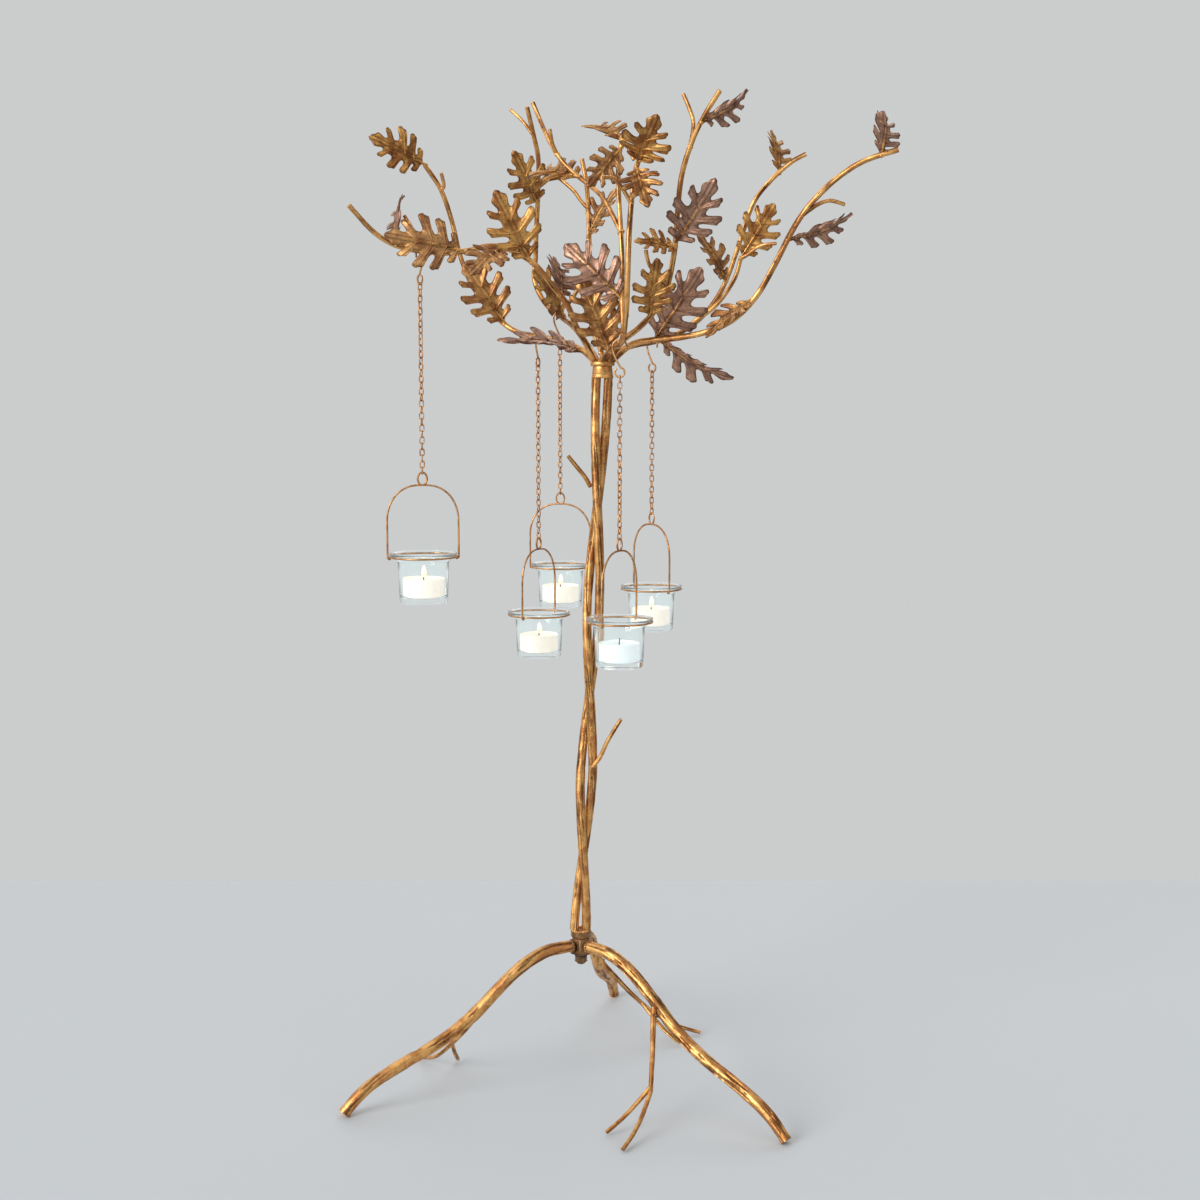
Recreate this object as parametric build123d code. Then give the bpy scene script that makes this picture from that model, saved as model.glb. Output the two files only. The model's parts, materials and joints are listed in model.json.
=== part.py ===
from build123d import *
import os
from functools import cache
from math import atan2, ceil, cos, degrees, hypot, pi, radians, sin, tan

# A tall tree-shaped candelabra: a three-legged root base, a trunk of two twisted rods, a crown of
# bent arms with oak leaves, and five chains that each carry a glass tealight cup.
# Millimetres, +Z up, floor at Z = 0. The pieces are drawn about the base hub's upright axis and
# moved at the end, so that the origin is the middle of the stand's plan.
PLAN_MIDDLE = (31.7, 34.7)    # from the hub's axis to the middle of the plan, X and Y
RUNNING_GAP = 0.3             # between a hanging piece and what carries it

# Base hub, and what clamps the trunk to it
HUB_TOP = 139.0
HUB_HEIGHT = 15.0
HUB_REACH = 8.0               # from the axis to each flat that a leg is welded to
STUD_RADIUS = 3.0
STUD_GAP = 0.2
WASHER_RADIUS = 6.0
WASHER_THICKNESS = 3.0
NUT_REACH = 5.0
NUT_HEIGHT = 5.0
NUT_DOME = 3.0

# Legs: one profile, as (out from the axis, height), turned to three headings
LEG_HEADINGS = {"left": 201.7, "right": 321.7, "back": 81.7}
LEG_PROFILE = [(32, 130), (52, 122), (71, 109), (90, 92), (107, 77), (126, 64), (146, 53),
               (167, 44), (186, 35), (203, 26), (216, 16)]
LEG_REACH = 229.0
LEG_TOP_RADIUS = 6.2
LEG_FOOT_RADIUS = 5.6
LEG_FOOT_TILT = 38.0          # how far the sawn end leans back from upright
LEG_FOOT_WEAR = 1.8           # filed off under the end, so that it stands flat

# Side root of each leg, as (out, across, height): a stem and two prongs
SIDE_ROOT = [(92, 10, 80), (101, 23, 62), (109, 35, 46), (116, 46, 33)]
SIDE_PRONG_LONG = [(116, 46, 33), (120, 62, 20), (124, 80, 10), (128, 102, 3)]
SIDE_PRONG_SHORT = [(114, 44, 36), (108, 57, 23), (102, 70, 12), (96, 84, 3)]
SIDE_ROOT_START = 86.0        # out from the axis, where it leaves the leg
SIDE_ROOT_RADIUS = 3.0
SIDE_TIP_RADIUS = 2.3

# Trunk: two rods laid round each other between the foot plug and the ferrule
TRUNK_FOOT = (-1.0, 0.0)
TRUNK_HEAD = (20.0, 0.0)
FOOT_PLUG_HEIGHT = 7.0
FOOT_PLUG_RADIUS = 9.5
FERRULE_BOTTOM = 660.0
FERRULE_HEIGHT = 10.0
FERRULE_RADIUS = 9.6
STRAND_RADIUS = 4.5
STRAND_OFFSET = 4.9           # strand axis to trunk axis where the strands cross
STRAND_SPREAD = 0.6           # added where they lie side by side
STRAND_TURNS = 1.5
STRAND_TIGHTENING = 1.2       # over 1, the twist tightens towards the foot
STRAND_STEPS = 20
TWIGS = {
    "upper": [(9, -5, 562), (4, -11, 571), (-3, -16, 580), (-11, -20, 590)],
    "lower": [(11, -5, 303), (18, -8, 313), (25, -12, 329), (37, -17, 350)],
}
TWIG_RADIUS = 2.3

# Crown collar, and the ring of welds that the eight main arms stand on
COLLAR_HEIGHT = 4.0
COLLAR_RADIUS = 11.0
ROOT_CIRCLE = 7.9
COLLAR_TOP = FERRULE_BOTTOM + FERRULE_HEIGHT + COLLAR_HEIGHT

# Arms: heading of the weld on the collar, radii at root and tip, and the line that each follows
ARMS = {
    "front_left": dict(weld=205, root=2.9, tip=2.4, line=[
        (5, -10, 690), (-4, -20, 706), (-11, -28, 723), (-23, -35, 738), (-40, -43, 758),
        (-62, -48, 770), (-79, -51, 772), (-97, -52, 768), (-118, -53, 766), (-138, -54, 768),
        (-154, -57, 771), (-168, -63, 777), (-181, -70, 788), (-195, -78, 804)]),
    "left": dict(weld=160, root=2.9, tip=2.4, line=[
        (1, 25, 685), (-20, 55, 694), (-41, 80, 699), (-60, 97, 703), (-76, 107, 713),
        (-92, 113, 730), (-106, 117, 750), (-117, 118, 778), (-124, 118, 808), (-134, 114, 838),
        (-149, 110, 861)]),
    "back_left": dict(weld=118, root=2.9, tip=2.4, line=[
        (5, 50, 692), (-9, 104, 710), (-22, 160, 721), (-38, 184, 736), (-48, 195, 758),
        (-47, 196, 781), (-46, 190, 806), (-44, 182, 838), (-43, 170, 874), (-47, 162, 895),
        (-53, 150, 921)]),
    "back": dict(weld=79, root=2.6, tip=2.2, line=[
        (18, 20, 686), (12, 34, 702), (9, 48, 732), (8, 58, 773), (7, 62, 815), (5, 66, 840),
        (1, 68, 861)]),
    "back_right": dict(weld=36, root=2.9, tip=2.4, line=[
        (37, 40, 685), (53, 78, 691), (68, 110, 694), (86, 130, 699), (104, 141, 709),
        (118, 148, 720), (132, 153, 737), (144, 157, 760), (155, 160, 792), (168, 158, 830),
        (185, 154, 852), (203, 149, 868), (218, 146, 876)]),
    "right": dict(weld=-6, root=3.1, tip=2.6, line=[
        (46, -6, 689), (66, -13, 693), (89, -20, 695), (113, -28, 700), (136, -34, 711),
        (155, -38, 731), (169, -40, 755), (182, -42, 781), (192, -44, 798), (204, -47, 813),
        (221, -50, 829), (243, -56, 843), (272, -64, 852)]),
    "front_right": dict(weld=-50, root=2.9, tip=2.3, line=[
        (38, -18, 692), (52, -31, 703), (66, -42, 718), (76, -50, 738), (82, -56, 768),
        (84, -62, 797), (87, -66, 828), (94, -71, 853), (104, -79, 875), (118, -89, 897)]),
    "front": dict(weld=-95, root=2.9, tip=2.4, line=[
        (28, -30, 685), (35, -50, 688), (38, -66, 696), (40, -81, 715), (41, -90, 742),
        (42, -92, 775), (44, -90, 804), (47, -85, 828), (50, -82, 840)]),
}

# Side branches: the arm and the point of its line that each is welded to, then its own line
BRANCHES = {
    "front_inner": dict(arm="front", at=3, root=2.6, tip=2.2, line=[
        (37, -62, 724), (37, -50, 742), (37, -44, 760), (36, -40, 785), (34, -37, 820),
        (34, -34, 846), (37, -30, 866)]),
    "back_right_inner": dict(arm="back_right", at=5, root=2.5, tip=2.2, line=[
        (114, 138, 718), (126, 136, 726), (138, 135, 739), (149, 132, 757), (154, 130, 775)]),
    "middle_rear": dict(arm="front_inner", at=4, root=2.4, tip=2.1, line=[
        (29, -31, 800), (20, -20, 817), (8, -8, 829), (-8, 7, 843), (-21, 17, 859),
        (-31, 25, 878), (-43, 38, 907)]),
}

# Stubs and forks that are one piece with their arm: the point of its line that they leave, and
# their own line. The points of a line are counted from its weld, which is 0.
STUBS = {
    "front_left": [(3, [(-4, -25, 733), (2, -21, 745)]),
                   (9, [(-130, -48, 774), (-144, -44, 786), (-152, -42, 799)])],
    "left": [(10, [(-131, 112, 842), (-133, 107, 853)])],
    "back_left": [(10, [(-57, 167, 909), (-70, 173, 922)])],
    "back": [(5, [(0, 66, 823), (-7, 72, 833), (-20, 82, 845)])],
    "back_right_inner": [(5, [(160, 127, 778), (172, 121, 786), (187, 116, 788)])],
    "right": [(9, [(206, -43, 808), (218, -38, 812), (231, -34, 809)])],
    "front_right": [(4, [(68, -55, 746), (60, -61, 756), (57, -64, 768)]),
                    (8, [(97, -66, 873), (94, -61, 886), (89, -56, 899)])],
    "front": [(7, [(36, -93, 817), (29, -97, 824), (20, -104, 824)])],
    "front_inner": [(7, [(42, -37, 858), (47, -42, 846)])],
    "middle_rear": [(5, [(-25, 13, 868), (-27, 11, 880)])],
}
STUB_RADIUS = 1.9

# Oak leaves: thin pressed sheet, folded along the midrib and bent once towards the tip
LEAF_WIDTH_SHARE = 0.72       # full width over length
LEAF_THICKNESS = 0.8
LEAF_SEAM = 0.05              # left between a stalk and the arm it is brazed to
LEAF_FOLD = 14.0              # each half rises this many degrees from the midrib
LEAF_BEND = 16.0              # the outer half droops this many degrees
LEAF_HALF = [(0.0, 0.03), (0.10, 0.05), (0.15, 0.24), (0.25, 0.32), (0.27, 0.16), (0.36, 0.44),
             (0.46, 0.47), (0.45, 0.20), (0.57, 0.50), (0.68, 0.44), (0.63, 0.20), (0.78, 0.36),
             (0.86, 0.27), (0.82, 0.12), (0.94, 0.15), (1.0, 0.0)]

# Each leaf: its arm, how far along the arm's line its stalk is (in points of that line), heading,
# rise above level, roll about the midrib, and length
LEAVES = {
    "left": [
        ("left", 11.0, -135, 20, -95, 62), ("front_left", 11.2, 100, 55, -70, 58),
        ("front_left", 8.1, -155, 10, -90, 70), ("front_left", 5.1, -135, 55, -125, 68),
        ("left", 4.8, -155, 55, -100, 70), ("front_left", 6.3, -115, -20, -25, 56),
        ("back_left", 7.8, -110, 40, -135, 64), ("left", 0.9, -175, 15, -20, 78),
        ("front_left", 3.5, 90, 45, 45, 58), ("back_left", 2.7, -115, 45, -90, 66)],
    "middle": [
        ("middle_rear", 3.5, 140, 15, -35, 66), ("front_inner", 7.0, 125, 25, -10, 58),
        ("front_inner", 6.6, -140, -45, -75, 48), ("front", 8.9, -80, 20, 155, 64),
        ("front", 8.5, -80, -35, 15, 52), ("back", 4.4, -30, 62, 70, 50),
        ("front_right", 5.1, -150, 10, -60, 38), ("front", 0.8, -145, 65, -115, 70),
        ("back", 0.7, -60, 55, 100, 56), ("front_inner", 1.1, 170, 45, -75, 72)],
    "right": [
        ("front_right", 8.9, 35, 25, 125, 66), ("front_right", 5.2, -55, 40, 145, 68),
        ("back_right", 7.8, -120, 40, -110, 64), ("back_right_inner", 5.0, -5, 58, 95, 62),
        ("right", 5.8, -160, -30, -20, 54), ("right", 7.9, 15, 15, 135, 68),
        ("right", 12.5, 65, 60, 60, 50), ("back_right", 11.4, 90, 65, 45, 52),
        ("right", 2.2, -5, -35, 145, 74), ("front_right", 2.6, -80, 48, 175, 58),
        ("right", 2.0, -10, 55, 105, 76)],
}

# Hangers: the arm, the point of its line that the hook sits on, the chain's number of links, and
# the headings of the hook's and the bail's planes
HANGERS = {
    1: dict(arm="front_left", at=10, links=31, hook=125, bail=10),
    2: dict(arm="left", at=3, links=31, hook=70, bail=62),
    3: dict(arm="back_left", at=3, links=28, hook=20, bail=-12),
    4: dict(arm="front", at=2, links=27, hook=-10, bail=60),
    5: dict(arm="back_right", at=3, links=26, hook=-40, bail=-58),
}
WIRE_RADIUS = 0.8
HOOK_BEND = 6.3               # radius of the wire's centre line over the arm
HOOK_DROP = 22.0              # from the bend's centre to the eye's centre
HOOK_EYE = 4.2
LINK_WIRE = 1.0
LINK_LENGTH = 7.6
LINK_WIDTH = 4.9
LINK_END = 3.2                # width of the link's flat ends
BAIL_EYE_WIDTH = 8.2
BAIL_EYE_HEIGHT = 11.0
BAIL_HEIGHT = 63.0            # from the ring up to the top of the arch
RING_WIRE = 0.9

# Glass cup with a turned-out rim, and the tealight in it
RIM_RADIUS = 30.0
RIM_FLARE = 8.0               # height of the turned-out part
RIM_EDGE = 0.8                # upright edge on top of it
NECK_RADIUS = 22.7
FOOT_RADIUS = 21.2
GLASS_HEIGHT = 44.0
GLASS_WALL = 1.8
GLASS_FLOOR = 5.0
TEALIGHT_RADIUS = 18.7
TEALIGHT_HEIGHT = 16.5
TEALIGHT_RIM = 0.8
WAX_DIP = 1.2
WICK_RADIUS = 0.7
WICK_HEIGHT = 6.0

# Worked out from the sizes above
LINK_HOLE = LINK_LENGTH - 2 * LINK_WIRE
LINK_PITCH = LINK_HOLE - RUNNING_GAP
BAIL_REACH = RIM_RADIUS + WIRE_RADIUS + 0.5
RING_RADIUS = BAIL_REACH - WIRE_RADIUS - RING_WIRE - RUNNING_GAP


def sections(points, radii, sides, first=None, last=None):
    """Regular cross-sections along a smooth line: one at each point and one between."""
    path = Spline([Vector(*p) for p in points])
    at = [path.param_at_point(Vector(*p)) for p in points]
    steps = sorted(at + [(a + b) / 2 for a, b in zip(at, at[1:])])
    faces = []
    for i, t in enumerate(steps):
        along = path % t
        if i == 0 and first:
            along = Vector(*first)
        if i == len(steps) - 1 and last:
            along = Vector(*last)
        side = along.cross(Vector(0.13, 0.31, 0.94))
        radius = radii[0] + (radii[1] - radii[0]) * i / (len(steps) - 1)
        plane = Plane(origin=path @ t, x_dir=side, z_dir=along)
        faces.append(plane * RegularPolygon(radius, sides))
    return faces


def rod(points, radii, sides=8, first=None, last=None):
    return loft(sections(points, radii, sides, first, last), ruled=True)


def turned(point, heading):
    """A point given as (out, across clockwise, height) turned to a heading about the hub's axis."""
    out, across, height = point
    h = radians(heading)
    return (out * cos(h) + across * sin(h), out * sin(h) - across * cos(h), height)


def make_hub():
    block = Pos(0, 0, HUB_TOP - HUB_HEIGHT) * extrude(
        Rot(0, 0, LEG_HEADINGS["back"]) * RegularPolygon(HUB_REACH, 6, major_radius=False,
                                                         rotation=30), HUB_HEIGHT)
    bore = Pos(0, 0, HUB_TOP - HUB_HEIGHT / 2) * Cylinder(STUD_RADIUS + STUD_GAP, 2 * HUB_HEIGHT)
    return block - bore


def leg_line():
    start = (HUB_REACH, HUB_TOP - HUB_HEIGHT / 2)
    foot = (LEG_REACH, LEG_FOOT_RADIUS * cos(radians(LEG_FOOT_TILT)) - LEG_FOOT_WEAR)
    return [start] + LEG_PROFILE + [foot]


def make_leg(heading):
    points = [turned((out, 0, height), heading) for out, height in leg_line()]
    leg = rod(points, (LEG_TOP_RADIUS, LEG_FOOT_RADIUS), first=turned((1, 0, 0), heading),
              last=turned((cos(radians(LEG_FOOT_TILT)), 0, -sin(radians(LEG_FOOT_TILT))), heading))
    return leg & above_floor()


def above_floor():
    return Pos(0, 0, LEG_REACH) * Box(4 * LEG_REACH, 4 * LEG_REACH, 2 * LEG_REACH)


def leg_height(out):
    line = leg_line()
    for (a, low), (b, high) in zip(line, line[1:]):
        if a <= out <= b:
            return low + (high - low) * (out - a) / (b - a)
    return line[-1][1]


def make_side_root(heading, leg):
    start = (SIDE_ROOT_START, 0, leg_height(SIDE_ROOT_START))
    stem = rod([turned(p, heading) for p in [start] + SIDE_ROOT],
               (SIDE_ROOT_RADIUS, SIDE_TIP_RADIUS))
    for prong in (SIDE_PRONG_LONG, SIDE_PRONG_SHORT):
        stem += rod([turned(p, heading) for p in prong], (SIDE_TIP_RADIUS, SIDE_TIP_RADIUS))
    return largest((stem & above_floor()) - leg)


def largest(shape):
    return max(shape.solids(), key=lambda s: s.volume)


def make_washer():
    ring = Cylinder(WASHER_RADIUS, WASHER_THICKNESS) - Cylinder(STUD_RADIUS + STUD_GAP,
                                                                2 * WASHER_THICKNESS)
    return Pos(0, 0, HUB_TOP - HUB_HEIGHT - WASHER_THICKNESS / 2) * ring


def make_nut():
    top = HUB_TOP - HUB_HEIGHT - WASHER_THICKNESS
    body = Pos(0, 0, top - NUT_HEIGHT) * extrude(RegularPolygon(NUT_REACH, 6, major_radius=False),
                                                 NUT_HEIGHT)
    dome = Pos(0, 0, top - NUT_HEIGHT - NUT_DOME / 2) * Cone(NUT_REACH / 2, NUT_REACH * 0.94,
                                                           NUT_DOME)
    bore = Pos(0, 0, top - NUT_HEIGHT / 2 + 0.5) * Cylinder(STUD_RADIUS + 0.05, NUT_HEIGHT + 1)
    return body + dome - bore


def make_stud():
    bottom = HUB_TOP - HUB_HEIGHT - WASHER_THICKNESS - NUT_HEIGHT + RUNNING_GAP
    top = HUB_TOP + FOOT_PLUG_HEIGHT - 2
    return Pos(0, 0, (bottom + top) / 2) * Cylinder(STUD_RADIUS, top - bottom)


def make_foot_plug():
    plug = Pos(0, 0, HUB_TOP + FOOT_PLUG_HEIGHT / 2) * Cylinder(FOOT_PLUG_RADIUS, FOOT_PLUG_HEIGHT)
    plug = fillet(plug.edges().group_by(Axis.Z)[0], 2)
    hole = Pos(0, 0, HUB_TOP + FOOT_PLUG_HEIGHT / 2 - 1) * Cylinder(STUD_RADIUS + STUD_GAP,
                                                                   FOOT_PLUG_HEIGHT - 2)
    return plug - hole


def trunk_axis(height):
    share = (height - HUB_TOP) / (FERRULE_BOTTOM - HUB_TOP)
    return [a + (b - a) * share for a, b in zip(TRUNK_FOOT, TRUNK_HEAD)]


def make_strand(side):
    low, high = HUB_TOP + FOOT_PLUG_HEIGHT, FERRULE_BOTTOM
    faces = []
    for i in range(STRAND_STEPS + 1):
        share = i / STRAND_STEPS
        height = high - (high - low) * share
        turn = 2 * pi * STRAND_TURNS * share ** STRAND_TIGHTENING
        off = STRAND_OFFSET + STRAND_SPREAD * cos(turn) ** 2
        x, y = trunk_axis(height)
        x -= side * off * cos(turn)
        y -= side * off * sin(turn)
        faces.append(Pos(x, y, height) * RegularPolygon(STRAND_RADIUS, 8, rotation=22.5))
    return loft(faces, ruled=True)


def make_twigs(strands):
    twigs = []
    for name, line in TWIGS.items():
        twig = rod(line, (TWIG_RADIUS, TWIG_RADIUS))
        for strand in strands:
            twig -= strand
        twigs.append(largest(twig))
    return Compound(children=twigs)


def make_ferrule():
    x, y = TRUNK_HEAD
    return Pos(x, y, FERRULE_BOTTOM + FERRULE_HEIGHT / 2) * Cone(
        FERRULE_RADIUS, FERRULE_RADIUS - 1, FERRULE_HEIGHT)


def make_collar():
    x, y = TRUNK_HEAD
    ring = Pos(x, y, COLLAR_TOP - COLLAR_HEIGHT / 2) * Cylinder(COLLAR_RADIUS, COLLAR_HEIGHT)
    return chamfer(ring.edges(), 0.8)


def arm_line(name):
    """An arm's whole line, from its weld on the collar or on the arm that carries it."""
    if name in ARMS:
        weld = radians(ARMS[name]["weld"])
        x, y = TRUNK_HEAD
        start = (x + ROOT_CIRCLE * cos(weld), y + ROOT_CIRCLE * sin(weld), COLLAR_TOP)
        return [start] + ARMS[name]["line"]
    branch = BRANCHES[name]
    return [arm_line(branch["arm"])[branch["at"]]] + branch["line"]


def make_arm(name, grown=0.0):
    sizes = ARMS.get(name) or BRANCHES[name]
    line = arm_line(name)
    first = (0, 0, 1) if name in ARMS else None
    arm = rod(line, (sizes["root"] + grown, sizes["tip"] + grown), first=first)
    for at, stub in STUBS.get(name, []):
        arm += rod([line[at]] + stub, (STUB_RADIUS + 0.1 + grown, STUB_RADIUS + grown))
    return arm


def make_arms():
    arms = {name: make_arm(name) for name in ARMS}
    for name, branch in BRANCHES.items():
        arms[name] = largest(make_arm(name) - arms[branch["arm"]])
    return arms


def folded_sheet(length):
    """A thick sheet with a V section, bent down halfway along the leaf."""
    width = length * LEAF_WIDTH_SHARE
    rise = width * tan(radians(LEAF_FOLD))
    drop = tan(radians(LEAF_BEND))
    half = length / 2

    def section(along, down):
        outline = [(-width, rise), (0, 0), (width, rise), (width, rise + LEAF_THICKNESS),
                   (0, LEAF_THICKNESS), (-width, rise + LEAF_THICKNESS)]
        points = [Vector(along, y, z - down) for y, z in outline]
        return make_face(Polyline(*points, close=True))

    inner = loft([section(-1, 0), section(half, 0)], ruled=True)
    outer = loft([section(half, 0), section(length + 1, (half + 1) * drop)], ruled=True)
    return inner + outer


def leaf_outline(length):
    width = length * LEAF_WIDTH_SHARE
    upper = [(x * length, y * width) for x, y in LEAF_HALF]
    lower = [(x, -y) for x, y in reversed(upper[:-1])]
    outline = make_face(Polyline(*upper, *lower, close=True))
    return Pos(0, 0, -length) * extrude(outline, 2 * length)


@cache
def make_leaf(length):
    return leaf_outline(length) & folded_sheet(length)


def place_leaf(arms, arm, at, heading, rise, roll, length):
    line = arm_line(arm)
    low = min(int(at), len(line) - 2)
    base = [a + (b - a) * (at - low) for a, b in zip(line[low], line[low + 1])]
    turn = Rot(0, 0, heading) * Rot(0, -rise, 0) * Rot(roll, 0, 0)
    leaf = Pos(*base) * turn * make_leaf(length)
    return largest(leaf - arms[arm])


def make_leaves(arms, group):
    return [place_leaf(arms, *leaf) for leaf in LEAVES[group]]


def around(radius, start, stop, centre=(0, 0), step=30):
    """Points on an arc from one angle to another, in degrees, as (across, up)."""
    count = max(1, ceil(abs(stop - start) / step))
    angles = [radians(start + (stop - start) * i / count) for i in range(count + 1)]
    return [(centre[0] + radius * cos(a), centre[1] + radius * sin(a)) for a in angles]


def wire(points, radius=WIRE_RADIUS, sides=6):
    """A bent wire that lies in the XZ plane, with a mitred cross-section at each bend."""
    faces = []
    spots = [Vector(x, 0, z) for x, z in points]
    for i, spot in enumerate(spots):
        before = spots[max(i - 1, 0)]
        after = spots[min(i + 1, len(spots) - 1)]
        plane = Plane(origin=spot, x_dir=(0, 1, 0), z_dir=after - before)
        faces.append(plane * RegularPolygon(radius, sides))
    return loft(faces, ruled=True)


def hook_top(arm_radius):
    return arm_radius + RUNNING_GAP + WIRE_RADIUS


def make_hook(arm_radius):
    """An S-hook about the arm's axis: open bend over the arm, shank, and eye for the chain."""
    centre = hook_top(arm_radius) - HOOK_BEND
    eye = centre - HOOK_DROP
    bend = around(HOOK_BEND, -25, 180, (0, centre))
    shank = [(-HOOK_BEND * 0.92, centre - 4), (-HOOK_BEND * 0.6, centre - 9.5),
             (-HOOK_BEND * 0.2, centre - 14.5)]
    loop = around(HOOK_EYE, 80, -235, (0, eye))
    return wire(bend + shank + loop)


def make_link():
    half, side, end = LINK_LENGTH / 2, LINK_WIDTH / 2, LINK_END / 2
    outline = Polyline((end, half), (side, 0), (end, -half), (-end, -half), (-side, 0),
                       (-end, half), close=True)
    plate = make_face(outline)
    hole = offset(plate, -LINK_WIRE, kind=Kind.INTERSECTION)
    flat = extrude(plate - hole, LINK_WIRE / 2, both=True)
    return Rot(90, 0, 0) * flat


def make_chain(count, top, hook_heading, bail_heading):
    """Separate links, each a quarter turn from the last, plus a slight even twist."""
    link = make_link()
    quarter = 90 * (count - 1)
    first = hook_heading + 90
    wanted = bail_heading + 90
    twist = ((wanted - first - quarter + 90) % 180 - 90) / (count - 1)
    centre = top - LINK_HOLE / 2
    return Compound(children=[
        Pos(0, 0, centre - i * LINK_PITCH) * Rot(0, 0, first + i * (90 + twist)) * link
        for i in range(count)])


def make_bail():
    """Arch with J ends that hook under the ring, and an oval eye on top. Z = 0 at the ring."""
    spring = BAIL_HEIGHT - BAIL_REACH
    curl = BAIL_REACH - RING_RADIUS
    left_end = [(-x, z) for x, z in reversed(around(curl, 0, -110, (RING_RADIUS, 0)))]
    right_end = around(curl, 0, -110, (RING_RADIUS, 0))
    arch = around(BAIL_REACH, 180, 0, (0, spring), step=18)
    frame = wire(left_end + arch + right_end)
    wide, tall = BAIL_EYE_WIDTH / 2, BAIL_EYE_HEIGHT / 2
    oval = [(wide * x, BAIL_HEIGHT + tall + tall * z) for x, z in around(1, -75, 255)]
    return frame + wire(oval)


def make_ring():
    bead = Plane.XZ * Pos(RING_RADIUS, 0) * RegularPolygon(RING_WIRE, 6)
    return revolve(bead, Axis.Z)


def rim_height():
    """How far the glass rim stands above the ring that carries its flare."""
    out, up = RIM_RADIUS - NECK_RADIUS, RIM_FLARE - RIM_EDGE
    off = (RING_WIRE + RUNNING_GAP) * hypot(out, up)
    return RIM_EDGE + (off + (RIM_RADIUS - RING_RADIUS) * up) / out


def make_glass():
    top = rim_height()
    foot = top - GLASS_HEIGHT
    outline = [(0, foot), (FOOT_RADIUS - 1, foot), (FOOT_RADIUS, foot + 1),
               (NECK_RADIUS, top - RIM_FLARE), (RIM_RADIUS, top - RIM_EDGE), (RIM_RADIUS, top),
               (RIM_RADIUS - GLASS_WALL * 0.7, top),
               (NECK_RADIUS - GLASS_WALL, top - RIM_FLARE - 0.6),
               (FOOT_RADIUS - GLASS_WALL, foot + GLASS_FLOOR), (0, foot + GLASS_FLOOR)]
    return revolve(make_face(Plane.XZ * Polyline(*outline, close=True)), Axis.Z)


def tealight_bottom():
    return rim_height() - GLASS_HEIGHT + GLASS_FLOOR + RUNNING_GAP


def make_tealight():
    low = tealight_bottom()
    high = low + TEALIGHT_HEIGHT
    outline = [(0, low), (TEALIGHT_RADIUS, low), (TEALIGHT_RADIUS, high),
               (TEALIGHT_RADIUS - TEALIGHT_RIM, high), (TEALIGHT_RADIUS - TEALIGHT_RIM - 0.6,
                                                        high - WAX_DIP),
               (WICK_RADIUS, high - WAX_DIP), (WICK_RADIUS, high - WAX_DIP + WICK_HEIGHT),
               (0, high - WAX_DIP + WICK_HEIGHT)]
    return revolve(make_face(Plane.XZ * Polyline(*outline, close=True)), Axis.Z)


def hanger_places(hanger):
    """Where the hook's pivot, the chain's pivot, the bail's pivot and the ring hang."""
    line = arm_line(hanger["arm"])
    at = hanger["at"]
    x, y, z = line[at]
    before, after = line[at - 1], line[at + 1]
    along = (after[0] - before[0], after[1] - before[1], after[2] - before[2])
    level = hypot(along[0], along[1])
    sizes = ARMS[hanger["arm"]]
    radius = sizes["root"] + (sizes["tip"] - sizes["root"]) * at / (len(line) - 1)
    slope = abs(along[2]) / level
    seat = radius * hypot(1, slope) + WIRE_RADIUS * slope
    eye = hook_top(seat) - HOOK_BEND - HOOK_DROP - HOOK_EYE
    chain_top = eye + WIRE_RADIUS + RUNNING_GAP
    chain_end = chain_top - LINK_HOLE - (hanger["links"] - 1) * LINK_PITCH
    bail_eye = chain_end + RUNNING_GAP + WIRE_RADIUS
    ring = bail_eye - BAIL_HEIGHT - BAIL_EYE_HEIGHT
    return dict(arm=(x, y, z), heading=degrees(atan2(along[1], along[0])), seat=seat,
                chain_top=chain_top, eye=eye, bail_eye=bail_eye, ring=ring)


def make_hanger(number, hanger):
    p = hanger_places(hanger)
    place = Pos(*p["arm"])
    bail_turn = Rot(0, 0, hanger["bail"])
    ring_place = place * Pos(0, 0, p["ring"])
    return {
        f"hook_{number}": place * Rot(0, 0, hanger["hook"]) * make_hook(p["seat"]),
        f"chain_{number}": place * make_chain(hanger["links"], p["chain_top"], hanger["hook"],
                                              hanger["bail"]),
        f"bail_{number}": ring_place * bail_turn * make_bail(),
        f"ring_{number}": ring_place * make_ring(),
        f"glass_{number}": ring_place * make_glass(),
        f"tealight_{number}": ring_place * make_tealight(),
    }


def make_stand():
    nodes = {"hub": make_hub(), "hub_washer": make_washer(), "hub_nut": make_nut(),
             "trunk_stud": make_stud(), "foot_plug": make_foot_plug()}
    for name, heading in LEG_HEADINGS.items():
        leg = make_leg(heading)
        nodes[f"leg_{name}"] = leg
        nodes[f"side_root_{name}"] = make_side_root(heading, leg)
    strands = [make_strand(1), make_strand(-1)]
    nodes["strand_left"], nodes["strand_right"] = strands
    nodes["trunk_twigs"] = make_twigs(strands)
    nodes["ferrule"] = make_ferrule()
    nodes["crown_collar"] = make_collar()
    for name, arm in make_arms().items():
        nodes[f"arm_{name}"] = arm
    grown_arms = {name: make_arm(name, LEAF_SEAM) for name in [*ARMS, *BRANCHES]}
    for group in LEAVES:
        nodes[f"leaves_{group}"] = Compound(children=make_leaves(grown_arms, group))
    return nodes


def main():
    nodes = make_stand()
    for number, hanger in HANGERS.items():
        nodes.update(make_hanger(number, hanger))
    os.makedirs("parts", exist_ok=True)
    for name, shape in nodes.items():
        export_step(Pos(-PLAN_MIDDLE[0], -PLAN_MIDDLE[1], 0) * shape, f"parts/{name}.step")


main()
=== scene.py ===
import json
from math import ceil, cos, exp, hypot, pi, radians, sin, tan

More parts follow.
